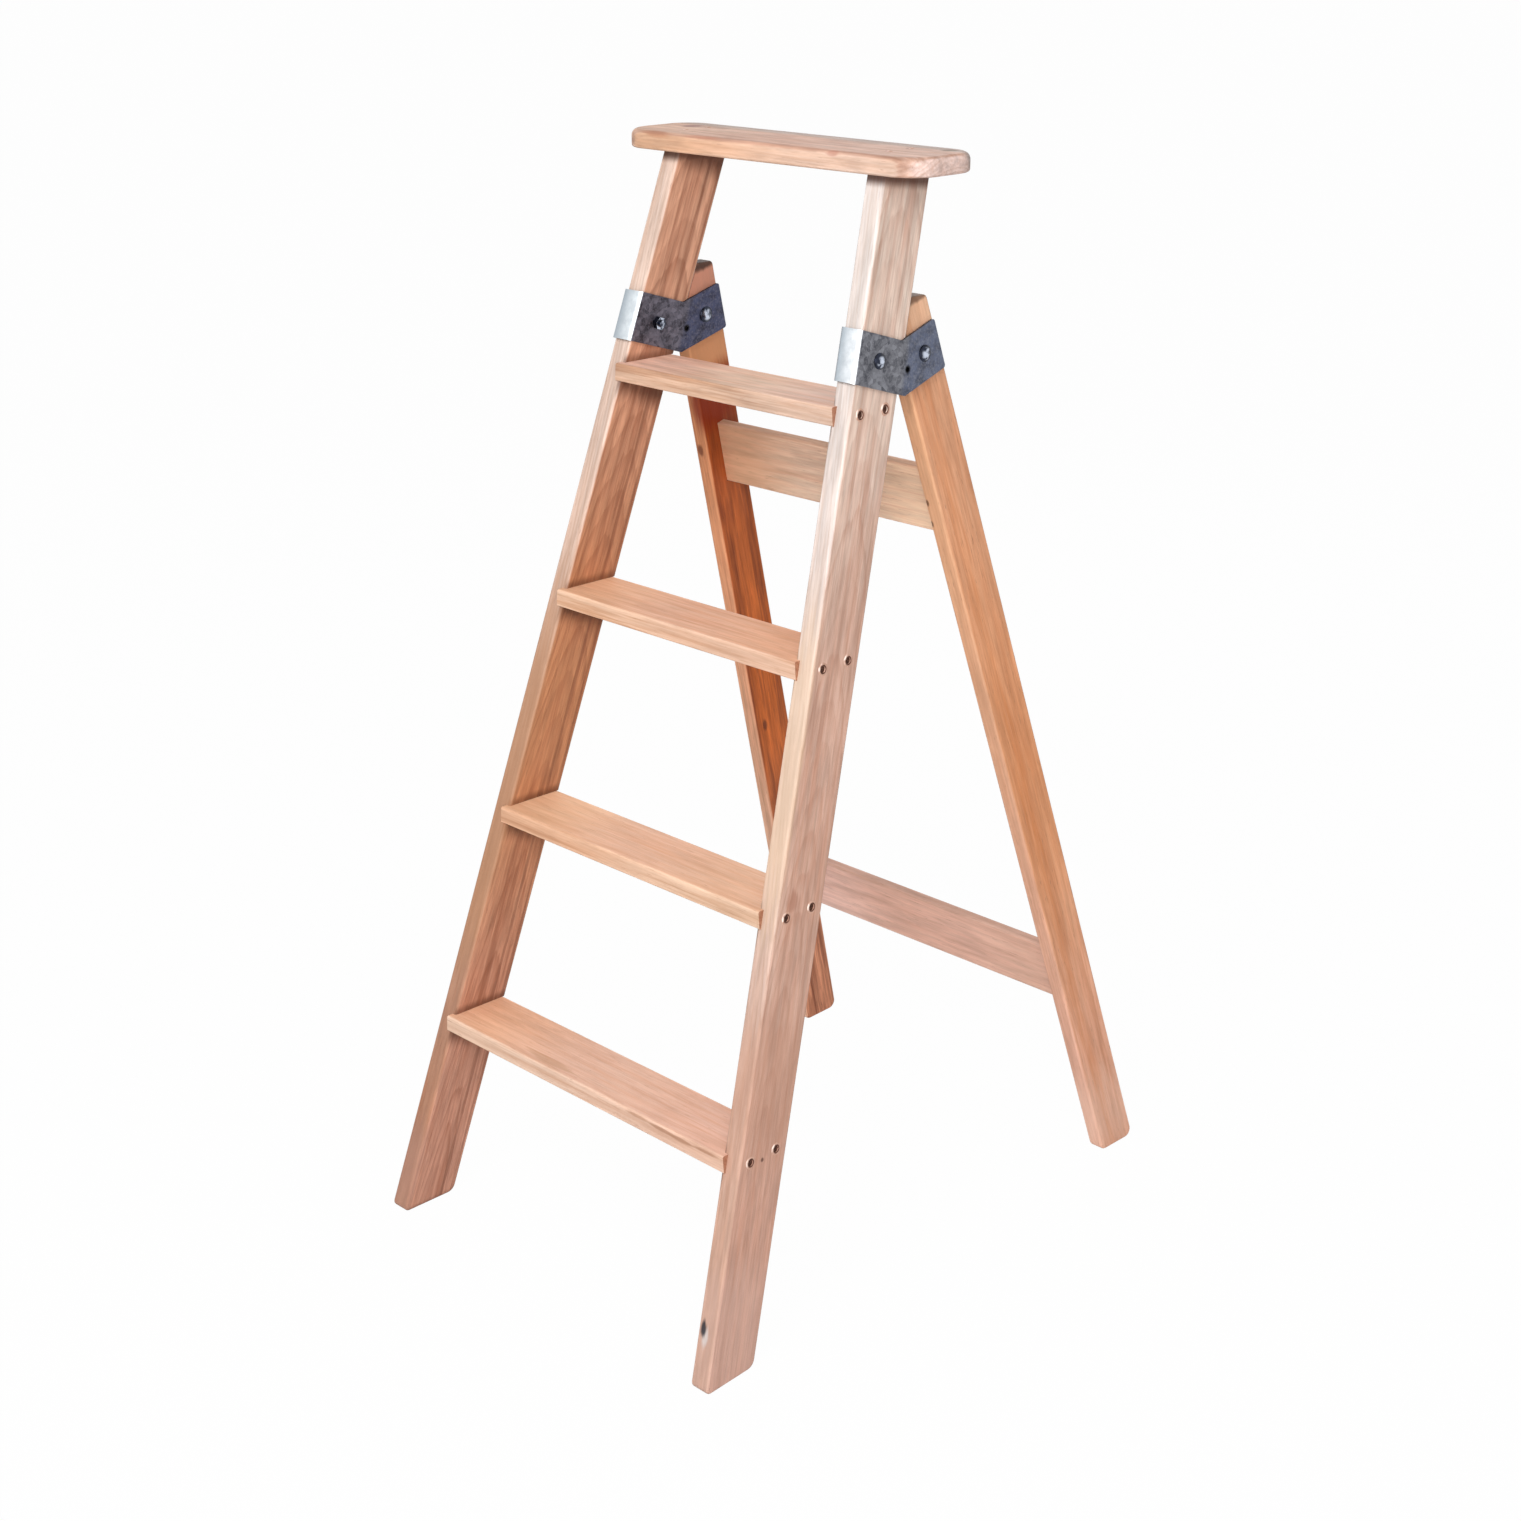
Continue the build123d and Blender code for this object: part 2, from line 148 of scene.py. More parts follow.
# %% Sums, ramps and noise
def sums(tree, operation, a, b=0, c=0):
    """A Math node's result."""
    return add_node(tree, "Math", {0: a, 1: b, 2: c}, operation=operation).outputs[0]


def times(tree, a, b):
    """The product of two values."""
    return sums(tree, "MULTIPLY", a, b)


def vectors(tree, operation, a, b=(0, 0, 0)):
    """A Vector Math node's vector result."""
    return add_node(tree, "VectorMath", {0: a, 1: b}, operation=operation).outputs[0]


def measure(tree, operation, a, b=(0, 0, 0)):
    """A Vector Math node's plain result, such as a length or a dot product."""
    return add_node(tree, "VectorMath", {0: a, 1: b}, operation=operation).outputs["Value"]


def split(tree, vector):
    """A vector's X, Y and Z."""
    return add_node(tree, "SeparateXYZ", {0: vector}).outputs


def ramp(tree, value, start, end, low=0, high=1):
    """A smooth step: low up to start, high from end on."""
    inputs = {"Value": value, "From Min": start, "From Max": end, "To Min": low, "To Max": high}
    return add_node(tree, "MapRange", inputs, interpolation_type="SMOOTHSTEP").outputs[0]


def noise(tree, place, stretch, seed, detail=2, rough=0.5):
    """Noise from 0 to 1 about 0.5, with stretch giving its ripples per metre each way."""
    inputs = {
        "Vector": vectors(tree, "MULTIPLY", place, stretch), "W": seed,
        "Scale": 1, "Detail": detail, "Roughness": rough,
    }
    return add_node(tree, "TexNoise", inputs, noise_dimensions="4D").outputs


print("sums:", *(helper.__name__ for helper in (sums, times, vectors, measure, split, ramp, noise)))

# %% [markdown]
# ## Growth rings
# Softwood shows the rings of the tree. Sawn along the trunk they become stripes, and where the saw ran
# through them at a slant they become nested arches. A flat stripe texture gives neither the arches nor
# the curved rings on a board's end. Here the whole tree is worked out as a solid: the distance from a
# heart line that runs along the board, a little aslant, is cut into rings, and the board's surface
# shows where it cuts them. In each ring the pale early wood darkens slowly towards the late wood and
# then stops short.

# %% Group: growth rings
rings_group, given, result = new_group(
    "growth rings",
    {"Board": "vector", "Heart": "vector", "Slant": "vector", "Ring width": "value", "Seed": "value"},
    {"Late wood": "value"},
)
tree = rings_group
WANDER = 0.022  # metres that the heart line strays
RIPPLE = 0.9  # rings that the small ripples shift
DARKEST = 0.9  # share of a ring at which the late wood stops short
YEARLY = 0.7  # share of the late wood that changes from year to year
wander = noise(tree, given["Board"], (1.3, 5, 5), given["Seed"])["Color"]
wander = vectors(tree, "SUBTRACT", wander, (0.5, 0.5, 0.5))
wander = vectors(tree, "MULTIPLY", wander, (0, WANDER, WANDER))
along = split(tree, given["Board"])["X"]
along = add_node(tree, "CombineXYZ", {"X": along, "Y": along, "Z": along}).outputs[0]
lean = vectors(tree, "MULTIPLY", given["Slant"], along)
away = vectors(tree, "SUBTRACT", given["Board"], given["Heart"])
away = vectors(tree, "ADD", vectors(tree, "ADD", away, lean), wander)
radius = measure(tree, "LENGTH", vectors(tree, "MULTIPLY", away, (0, 1, 1)))
ripple = noise(tree, given["Board"], (9, 110, 110), given["Seed"], detail=3)["Fac"]
count = sums(tree, "DIVIDE", radius, given["Ring width"])
count = sums(tree, "MULTIPLY_ADD", ripple, RIPPLE, count)
year = sums(tree, "ADD", sums(tree, "FLOOR", count), given["Seed"])
year = add_node(tree, "TexWhiteNoise", {"W": year}, noise_dimensions="1D").outputs["Value"]
part = sums(tree, "FRACT", count)
rise = ramp(tree, part, times(tree, year, 0.5), DARKEST)
fall = ramp(tree, part, DARKEST, 1, 1, 0)
late = times(tree, rise, fall)
late = times(tree, late, sums(tree, "MULTIPLY_ADD", year, YEARLY, 1 - YEARLY))
fill_sockets(tree, result, {"Late wood": late})
print("growth rings:", len(tree.nodes), "nodes")

# %% [markdown]
# ## Fibres, streaks and flecks
# Between the rings, planed wood is never one colour. Fine fibres run the length of the board, thin
# lines and soft streaks darken it here and there, short dark flecks mark the resin canals, clouds the
# size of a fingertip pale and darken it, and broad shades change the tone over a hand's width. All six
# are the same noise, stretched along the grain by different amounts.

# %% Group: planed grain
grain_group, given, result = new_group(
    "planed grain", {"Board": "vector", "Seed": "value"},
    dict.fromkeys(("Fibre", "Line", "Streak", "Shade", "Fleck", "Cloud"), "value"),
)
tree = grain_group
# Ripples per metre along, across and through the board, detail, and where a pattern starts and is full
GRAIN = {
    "Fibre": ((22, 480, 480), 4, 0.3, 0.7),
    "Line": ((6, 290, 290), 2, 0.5, 0.7),
    "Streak": ((5, 130, 130), 3, 0.42, 0.72),
    "Shade": ((1.4, 34, 34), 2, 0.34, 0.66),
    "Fleck": ((60, 1100, 1100), 1, 0.66, 0.75),
    "Cloud": ((15, 120, 120), 3, 0.3, 0.7),
}
for label, (stretch, detail, start, end) in GRAIN.items():
    pattern = noise(tree, given["Board"], stretch, given["Seed"], detail=detail, rough=0.6)["Fac"]
    fill_sockets(tree, result, {label: ramp(tree, pattern, start, end)})
print("planed grain:", len(tree.nodes), "nodes")

# %% [markdown]
# ## Wear along the edges
# Hands and shoes polish a ladder's edges pale, and dirt settles in patches. The board's own coordinates
# make an edge easy to find: it is where a point lies close to the board's width and close to its
# thickness at once. Noise breaks the line up, because real wear comes and goes. The same sums tell the
# narrow sides of a board from its broad faces, and its two ends from its middle.

# %% Group: edge wear
wear_group, given, result = new_group(
    "edge wear", {"Board": "vector", "Half size": "vector", "Seed": "value"},
    dict.fromkeys(("Edge", "Side", "Dirt", "Along", "Middle"), "value"),
)
tree = wear_group
WORN = (0.001, 0.005)  # metres from an edge: worn up to the first, untouched from the second
NARROW = (0.0008, 0.003)  # metres inside a narrow side over which its tone ends
inset = vectors(tree, "SUBTRACT", given["Half size"], vectors(tree, "ABSOLUTE", given["Board"]))
inset = split(tree, inset)
near_side = ramp(tree, inset["Y"], *WORN, 1, 0)
near_face = ramp(tree, inset["Z"], *WORN, 1, 0)
patches = noise(tree, given["Board"], (18, 60, 60), given["Seed"], detail=4)["Fac"]
edge = times(tree, near_side, near_face)
edge = times(tree, edge, ramp(tree, patches, 0.3, 0.6))
smears = noise(tree, given["Board"], (7, 26, 26), given["Seed"], detail=5, rough=0.65)["Fac"]
along = split(tree, vectors(tree, "DIVIDE", given["Board"], given["Half size"]))["X"]
fill_sockets(tree, result, {
    "Edge": edge, "Side": ramp(tree, inset["Y"], *NARROW, 1, 0),
    "Dirt": ramp(tree, smears, 0.48, 0.76), "Along": ramp(tree, along, -0.9, 0.8),
    "Middle": ramp(tree, sums(tree, "ABSOLUTE", along), 0.05, 0.75, 1, 0),
})
print("edge wear:", len(tree.nodes), "nodes")

# %% [markdown]
# ## Single marks
# A knot, a scuff or a nail mark sits at one place on one board. This group gives a soft spot there: the
# distance from its middle, measured in its own length, width and depth, with a ragged edge from noise.
# A very long reach turns the spot into a stripe along the grain.

# %% Group: a mark
mark_group, given, result = new_group(
    "mark",
    {"Board": "vector", "Middle": "vector", "Reach": "vector", "Ragged": "value"}, {"Mask": "value"},
)
tree = mark_group
COVERED = 0.4  # share of its reach that a mark covers in full
offset = vectors(tree, "SUBTRACT", given["Board"], given["Middle"])
distance = measure(tree, "LENGTH", vectors(tree, "DIVIDE", offset, given["Reach"]))
crumble = noise(tree, given["Board"], (16, 220, 220), 3, detail=4, rough=0.6)["Fac"]
crumble = times(tree, sums(tree, "SUBTRACT", crumble, 0.5), given["Ragged"])
mask = ramp(tree, sums(tree, "ADD", distance, crumble), COVERED, 1, 1, 0)
fill_sockets(tree, result, {"Mask": mask})
print("mark:", len(tree.nodes), "nodes")

# %% [markdown]
# ## Painted shade under the treads
# The stiles are painted darker under each tread and under the cap, where these shade them: a painted
# shadow. The treads are evenly spaced, so the height above the floor, divided by the spacing, tells how
# far below the next underside a point lies. Painting each place by hand would need ten marks. Here one
# fraction does it. The painted shade reaches further down towards the back of the stile. A thin line
# of painted shade also lies in the corner over each tread.

# %% Group: painted shade under treads
first_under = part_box("tread_1")[0][2]
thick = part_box("tread_1")[1][2] - first_under
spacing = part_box("tread_2")[0][2] - first_under
cap_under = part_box("top_cap")[0][2]
shade_under_group, given, result = new_group(
    "painted shade under treads", {"Place": "vector", "Board": "vector", "Inward": "value"}, {"Mask": "value"}
)
tree = shade_under_group
TREAD_SLOPE, CAP_SLOPE = 0.35, 0.13  # rise of the painted shade's lower limit for each metre to the front
INNER_FACE = (0.008, 0.011)  # metres from a stile's middle over which its inner face begins
UNDER_TREAD = (0.036, 0.012)  # metres under a tread at which the painted shade ends, and at which it is full
UNDER_CAP = (0.02, 0.009)  # the same under the cap
OVER_TREAD = (0.012, 0.002)  # the same in the corner over a tread
CORNER_SHADE = 0.8  # strength of the line of painted shade over a tread
level = split(tree, given["Place"])["Z"]
board = split(tree, given["Board"])
count = sums(tree, "DIVIDE", sums(tree, "SUBTRACT", level, first_under), spacing)
rise = sums(tree, "FRACT", count)
over = sums(tree, "MULTIPLY_ADD", rise, spacing, -thick)
below = sums(tree, "MULTIPLY_ADD", rise, -spacing, spacing)
below = sums(tree, "MULTIPLY_ADD", board["Y"], TREAD_SLOPE, below)
below_cap = sums(tree, "SUBTRACT", cap_under, level)
below_cap = sums(tree, "MULTIPLY_ADD", board["Y"], CAP_SLOPE, below_cap)
inner = ramp(tree, times(tree, board["Z"], given["Inward"]), *INNER_FACE)
ragged = noise(tree, given["Board"], (30, 90, 90), 1, detail=4)["Fac"]
ragged = ramp(tree, ragged, 0.2, 0.6, 0.6, 1)
close = ramp(tree, below, *UNDER_TREAD, 0, inner)
close = times(tree, close, ragged)
corner_shade = times(tree, ramp(tree, over, *OVER_TREAD, 0, inner), ragged)
close = sums(tree, "MAXIMUM", close, times(tree, corner_shade, CORNER_SHADE))
capped = ramp(tree, below_cap, *UNDER_CAP)
fill_sockets(tree, result, {"Mask": sums(tree, "MAXIMUM", close, capped)})
print("first underside", round(first_under, 4), "spacing", round(spacing, 4))

# %% [markdown]
# ## Bare planed wood
# The groups so far only say where something is. This one lays their colours over each other, from the
# broad tones to the small marks: early wood whose tone changes from one end of the board to the other,
# narrow sides, late wood, streaks, fibres, flecks, dirt, clouds and polished edges. On some boards that
# change from end to end is partly painted shade. Narrow sides and sawn ends have tones of their own,
# and where the narrow sides are paler this is partly a painted sheen. The normal tells an end apart,
# because there it follows the grain. The same masks make the polish and the relief, so that a fibre
# that looks dark also lies deep.

# %% Mix colours and place groups
def paint(red, green, blue):
    """A colour as seen on screen, 0 to 255, as the linear colour that shaders take (sRGB curve)."""
    screen = np.array([red, green, blue]) / 255
    linear = np.where(screen <= 0.04045, screen / 12.92, ((screen + 0.055) / 1.055) ** 2.4)
    return (*linear.tolist(), 1.0)


def between(tree, factor, a, b):
    """A mix of two values, sockets 2 and 3 of a Mix node."""
    return add_node(tree, "Mix", {0: factor, 2: a, 3: b}).outputs[0]


def blend(tree, factor, a, b):
    """A mix of two colours, sockets 6 and 7 of a Mix node."""
    return add_node(tree, "Mix", {0: factor, 6: a, 7: b}, data_type="RGBA").outputs[2]


def cover(tree, tone, mask, share, colour):
    """A tone with a colour laid over it where the mask is, as strongly as the share."""
    return blend(tree, times(tree, mask, share), tone, colour)


def place_group(tree, group, inputs):
    """A group placed in a material with its own values; returns its outputs."""
    node = add_node(tree, "Group", node_tree=group)
    fill_sockets(tree, node, inputs)
    return node.outputs


print("peach in a shader:", [round(v, 3) for v in paint(232, 192, 164)])

# %% Group: bare wood
VECTORS = ["Board", "Half size", "Normal", "Grain", "Heart", "Slant"]
VALUES = ["Ring width", "Seed", "Figure", "Streaks", "Side streaks", "Mottle", "Grime"]
COLOURS = ["Early", "Foot", "Late", "Side", "Side foot", "End", "Knot", "Middle"]
wood_group, given, result = new_group(
    "bare wood",
    {
        **dict.fromkeys(VECTORS, "vector"), **dict.fromkeys(VALUES, "value"),
        **dict.fromkeys(COLOURS, "colour"),
    },
    {"Colour": "colour", "Roughness": "value", "Height": "value"},
)
tree = wood_group
DIRT = paint(118, 90, 72)
SIDE_LATE = (0.66, 0.52, 0.42)  # late wood on narrow sides and ends, as a share of their own tone
SHADES, SIDES, ENDS, FIBRES, FLECKS = 0.22, 0.85, 0.85, 0.3, 0.5  # how strongly each layer covers
CLOUDS = (0.84, 1.14)  # brightness of a dark and of a pale cloud
POLISH = 1.12  # brightness of a rubbed edge
RING_HEIGHT, FLECK_HEIGHT = 0.35, -0.8  # relief, where a gap between fibres is 1 deep
own = {"Board": given["Board"], "Seed": given["Seed"]}
rings = place_group(tree, rings_group, {
    **own, "Heart": given["Heart"], "Slant": given["Slant"], "Ring width": given["Ring width"]})
grain = place_group(tree, grain_group, own)
wear = place_group(tree, wear_group, {**own, "Half size": given["Half size"]})
facing = sums(tree, "ABSOLUTE", measure(tree, "DOT_PRODUCT", given["Normal"], given["Grain"]))
# Tone from one end of the board to the other and in its middle, on some boards partly painted shade
tone = blend(tree, wear["Along"], given["Foot"], given["Early"])
tone = blend(tree, wear["Middle"], tone, given["Middle"])
tone = cover(tree, tone, grain["Shade"], SHADES, given["Late"])
# Tone of the narrow sides, partly a painted sheen where it is paler
side = blend(tree, wear["Along"], given["Side foot"], given["Side"])
tone = cover(tree, tone, wear["Side"], SIDES, side)
ends = ramp(tree, facing, 0.5, 0.8)
tone = cover(tree, tone, ends, ENDS, given["End"])
narrow = sums(tree, "MAXIMUM", wear["Side"], ends)
late = blend(tree, narrow, given["Late"], vectors(tree, "MULTIPLY", tone, SIDE_LATE))
streaks = between(tree, narrow, given["Streaks"], given["Side streaks"])
for layer, share, colour in (
    (rings["Late wood"], given["Figure"], late), (grain["Streak"], streaks, late),
    (times(tree, grain["Line"], narrow), streaks, late),
    (grain["Fibre"], FIBRES, late), (grain["Fleck"], FLECKS, given["Knot"]),
    (wear["Dirt"], given["Grime"], DIRT),
):
    tone = cover(tree, tone, layer, share, colour)
clouds = [vectors(tree, "MULTIPLY", tone, [gain] * 3) for gain in CLOUDS]
tone = blend(tree, given["Mottle"], tone, blend(tree, grain["Cloud"], *clouds))
tone = blend(tree, wear["Edge"], tone, vectors(tree, "MULTIPLY", tone, [POLISH] * 3))
rough = sums(tree, "MULTIPLY_ADD", grain["Fibre"], 0.14, 0.54)
rough = sums(tree, "MULTIPLY_ADD", wear["Edge"], -0.08, rough)
height = sums(tree, "SUBTRACT", 1, grain["Fibre"])
height = sums(tree, "MULTIPLY_ADD", rings["Late wood"], RING_HEIGHT, height)
height = sums(tree, "MULTIPLY_ADD", grain["Fleck"], FLECK_HEIGHT, height)
fill_sockets(tree, result, {"Colour": tone, "Roughness": rough, "Height": height})
print("bare wood:", len(tree.nodes), "nodes")

# %% [markdown]
# ## One finish for each board
# Boards from the same pile differ: one is pink, one peach, one nearly orange. Each board gets its own
# material from the same group, with its own colours, place in the tree and seed. A Mapping node turns
# the object's coordinates into the board's, so that x runs along the grain. The single marks are laid
# on top, at places given in the ladder's own coordinates.

# %% Colours and grain of the boards
# The colours stand in the order of COLOURS. Heart is the place of the tree's heart across and through
# the board, and slant is how far that place moves back for each metre along.
WOOD = {
    # Both stiles are darker towards the foot and their narrow fronts paler and greyer at the top:
    # partly  the wood's own tone, partly painted shade towards the foot and a painted sheen at the top.
    "stile_right": dict(
        colours=((237, 217, 202), (205, 162, 144), (176, 122, 98), (211, 205, 203),
            (193, 156, 137), (176, 136, 116), (176, 136, 116), (213, 176, 158)),
        heart=(0.004, -0.04), slant=(0.004, 0.08), ring=0.0038, figure=0.32, streaks=0.5,
        side_streaks=0.28, mottle=0.96, seed=3.1),
    "stile_left": dict(
        colours=((224, 170, 140), (210, 156, 133), (138, 80, 54), (219, 201, 190),
            (169, 123, 97), (120, 76, 56), (120, 76, 56), (210, 147, 104)),
        heart=(-0.004, -0.045), slant=(0.006, 0.07), ring=0.0038, figure=0.42, streaks=0.6,
        side_streaks=0.36, mottle=0.9, grime=0.24, seed=8.4),
    "tread_1": dict(
        colours=((231, 190, 172), (242, 192, 159), (196, 136, 100), (230, 195, 174),
            (236, 206, 184), (170, 116, 88), (170, 116, 88), (231, 193, 173)),
        heart=(0.02, -0.09), slant=(0.03, 0.03), ring=0.005, figure=0.12, streaks=0.33,
        side_streaks=0.6, mottle=0.35, grime=0.22, seed=12.7),
    "tread_2": dict(
        colours=((233, 193, 165), (235, 194, 160), (200, 140, 100), (225, 194, 169),
            (227, 180, 148), (170, 116, 88), (170, 116, 88), (235, 193, 168)),
        heart=(-0.03, -0.08), slant=(0.02, 0.04), ring=0.0052, figure=0.1, streaks=0.4,
        side_streaks=0.69, mottle=0.4, seed=21.3),
    "tread_3": dict(
        colours=((235, 185, 153), (242, 199, 164), (196, 132, 96), (212, 178, 156),
            (233, 196, 169), (170, 116, 88), (170, 116, 88), (246, 202, 175)),
        heart=(0.01, -0.1), slant=(-0.03, 0.03), ring=0.0048, figure=0.12, streaks=0.46,
        side_streaks=0.9, mottle=0.42, seed=33.9),
    "tread_4": dict(
        colours=((205, 177, 162), (252, 209, 190), (204, 150, 122), (212, 183, 164),
            (208, 173, 147), (170, 116, 88), (170, 116, 88), (219, 189, 164)),
        heart=(-0.01, -0.085), slant=(0.03, -0.02), ring=0.0048, figure=0.12, streaks=0.63,
        side_streaks=0.78, mottle=0.8, seed=41.2),
    "top_cap": dict(
        colours=((207, 170, 152), (228, 191, 168), (166, 122, 100), (225, 198, 181),
            (223, 181, 149), (234, 210, 203), (150, 104, 84), (213, 168, 146)),
        heart=(0.015, -0.06), slant=(0.02, 0.03), ring=0.0042, figure=0.55, streaks=0.8,
        side_streaks=0.45, mottle=1, grime=0.5, seed=55.8),
    # The left leg darkens from its foot up towards tread 4: partly its own deep orange and partly
    # painted  shade from the front frame. Its pale narrow front at the foot is partly painted light.
    "rear_leg_left": dict(
        colours=((168, 76, 18), (252, 174, 135), (122, 56, 24), (215, 150, 107),
            (252, 210, 183), (44, 26, 18), (92, 50, 30), (230, 122, 54)),
        heart=(0.012, -0.07), slant=(0.008, 0.02), ring=0.0042, figure=0.46, streaks=0.88,
        mottle=1, seed=62.4),
    "rear_leg_right": dict(
        colours=((237, 183, 147), (240, 184, 156), (180, 104, 56), (212, 164, 127),
            (222, 174, 153), (58, 38, 28), (104, 66, 44), (240, 173, 128)),
        heart=(0.004, 0.06), slant=(0.006, 0.015), ring=0.004, figure=0.26, streaks=0.42,
        side_streaks=0.2, mottle=0.6, seed=74.6),
    # The upper rail's darker left end is partly painted shade.
    "upper_rail": dict(
        colours=((252, 224, 194), (217, 171, 137), (204, 150, 118), (248, 208, 180),
            (217, 177, 150), (150, 104, 78), (150, 104, 78), (252, 226, 203)),
        heart=(0.03, -0.07), slant=(0.03, 0.02), ring=0.0044, figure=0.12, streaks=0.47,
        mottle=0.8, seed=83.5),
    "lower_rail": dict(
        colours=((224, 182, 161), (254, 212, 198), (196, 146, 126), (201, 167, 151),
            (213, 177, 161), (150, 104, 84), (150, 104, 84), (238, 191, 171)),
        heart=(-0.02, -0.08), slant=(0.03, 0.02), ring=0.0046, figure=0.16, streaks=0.54,
        mottle=0.77, seed=97.7),
}
print("boards with colours:", len(WOOD))

# %% Marks on the boards
# A mark is its place on the ladder, its reach along, across and through the board, its raggedness,
# how strongly it covers, and its colour. A few marks are painted shade or painted light, as noted.
LONG = 3  # a reach past both ends of any board
MARKS = {
    "stile_right": [
        ((0.26, -0.34, 0.05), (0.11, 0.12, 0.06), 0.8, 0.3, (208, 175, 163)),
        ((0.2447, -0.252, 0.31), (0.11, 0.09, 0.05), 0.8, 0.4, (184, 136, 113)),
        ((0.2027, -0.1881, 0.64), (0.23, 0.008, 0.04), 0.6, 0.45, (216, 184, 150)),
        ((0.254, -0.366, 0.058), (0.016, 0.006, 0.007), 1.3, 0.6, (206, 203, 202)),
        ((0.249, -0.3637, 0.0655), (0.013, 0.006, 0.0065), 1.3, 0.95, (34, 36, 44)),
        ((0.2506, -0.2763, 0.2348), (0.0032, 0.003, 0.003), 0.5, 0.85, (84, 48, 36)),
        ((0.2267, -0.206, 0.5045), (0.015, 0.012, 0.006), 2.2, 0.55, (164, 110, 88)),
    ],
    "rear_leg_right": [
        ((0.2417, 0.3393, 0.05), (0.1, 0.1, 0.05), 0.8, 0.3, (254, 217, 196)),
        ((0.1697, 0.0354, 1.085), (0.06, 0.06, 0.03), 0.6, 0.5, (238, 198, 166)),
        ((0.1652, 0.0419, 1.0991), (0.007, 0.04, 0.03), 0.5, 0.8, (92, 62, 46)),
        # A black spot behind the strap's open hole: painted shade seen through the hole
        ((0.1748, 0.0175, 1.0252), (0.008, 0.008, 0.006), 0, 1, (14, 12, 12)),
        ((0.196, 0.175, 0.56), (LONG, 0.017, 0.03), 1.1, 0.55, (214, 134, 80)),
        ((0.1716, 0.06, 0.8737), (0.005, 0.004, 0.003), 0.6, 0.85, (88, 54, 34)),
        ((0.1728, 0.0674, 0.849), (0.005, 0.004, 0.003), 0.6, 0.85, (88, 54, 34)),
    ],
    "rear_leg_left": [
        ((-0.1497, 0.0388, 1.085), (0.06, 0.06, 0.03), 0.6, 0.72, (210, 154, 132)),
        ((-0.1534, 0.044, 1.0991), (0.009, 0.04, 0.03), 0.5, 0.9, (44, 28, 20)),
        # A black spot behind the strap's open hole: painted shade seen through the hole
        ((-0.1548, 0.0159, 1.0267), (0.008, 0.008, 0.006), 0, 1, (14, 12, 12)),
        ((-0.1799, 0.0611, 0.8736), (0.01, 0.006, 0.006), 0.9, 0.8, (104, 48, 24)),
        ((-0.2032, 0.1937, 0.4873), (0.012, 0.005, 0.006), 0.8, 0.8, (96, 44, 22)),
        ((-0.169, 0.1, 0.79), (0.03, 0.018, 0.012), 1.6, 0.6, (118, 50, 22)),
        # Painted shade on the leg below the height of tread 4, and painted light above it, under the
        # strap
        ((-0.163, 0.062, 0.935), (0.05, 0.06, 0.02), 0.8, 0.85, (136, 40, 4)),
        ((-0.1577, 0.0518, 1.001), (0.04, 0.09, 0.03), 0.6, 0.72, (228, 166, 120)),
    ],
    "stile_left": [
        ((-0.2564, -0.3715, 0.04), (0.1, 0.01, 0.04), 0.6, 0.6, (176, 132, 114)),
        ((-0.2125, -0.2217, 0.53), (0.33, 0.008, 0.04), 0.6, 0.7, (172, 124, 90)),
        ((-0.238, -0.27, 0.2), (LONG, 0.0035, 0.03), 1.6, 0.45, (112, 66, 46)),
        ((-0.238, -0.254, 0.2), (LONG, 0.003, 0.03), 1.6, 0.4, (112, 66, 46)),
    ],
    "tread_1": [
        ((0.0982, -0.3166, 0.2435), (0.024, 0.006, 0.003), 1.2, 0.5, (160, 106, 70)),
        ((0.1363, -0.3165, 0.242), (0.022, 0.006, 0.003), 1.2, 0.6, (146, 94, 60)),
        ((0.1692, -0.3164, 0.2412), (0.022, 0.006, 0.003), 1.2, 0.6, (146, 94, 60)),
        ((0.206, -0.3163, 0.2425), (0.024, 0.006, 0.003), 1.0, 0.55, (150, 98, 64)),
        ((-0.065, -0.305, 0.247), (0.045, 0.01, 0.006), 2.2, 0.4, (172, 124, 82)),
    ],
    "top_cap": [
        ((0, 0.078, 1.244), (LONG, 0.03, 0.02), 0.8, 0.7, (146, 136, 130)),
        ((-0.1704, 0.0421, 1.2465), (0.016, 0.016, 0.01), 0.8, 0.75, (118, 70, 64)),
        ((-0.1579, -0.023, 1.245), (0.026, 0.008, 0.007), 1.6, 0.45, (160, 98, 66)),
        ((-0.0855, -0.021, 1.246), (0.034, 0.006, 0.006), 1.8, 0.4, (168, 104, 80)),
        ((0.189, 0.06, 1.245), (0.012, 0.012, 0.01), 0.8, 0.8, (104, 82, 60)),
        ((0.105, -0.0244, 1.2441), (0.01, 0.006, 0.005), 1.2, 0.45, (168, 102, 86)),
    ],
}
print("marks:", sum(len(marks) for marks in MARKS.values()))


# %% Parts of a finish
def surface(tree, what):
    """The surface's Object point or its Normal, in the ladder's own coordinates."""
    return add_node(tree, "TexCoord").outputs[what]


def board_place(tree, name):
    """The board's own coordinates: x along the grain, y across, z through the thickness."""
    turn, middle, _ = boards[name]
    inputs = {
        "Vector": surface(tree, "Object"),
        "Location": Vector(middle), "Rotation": Matrix(turn.tolist()).to_euler("XYZ"),
    }
    return add_node(tree, "Mapping", inputs, vector_type="TEXTURE").outputs[0]


def new_finish(name, metallic=0):
    """A new material, its tree and its shader."""
    material = bpy.data.materials.new(name)
    material.use_nodes = True
    shader = material.node_tree.nodes["Principled BSDF"]
    shader.inputs["Metallic"].default_value = metallic
    return material, material.node_tree, shader


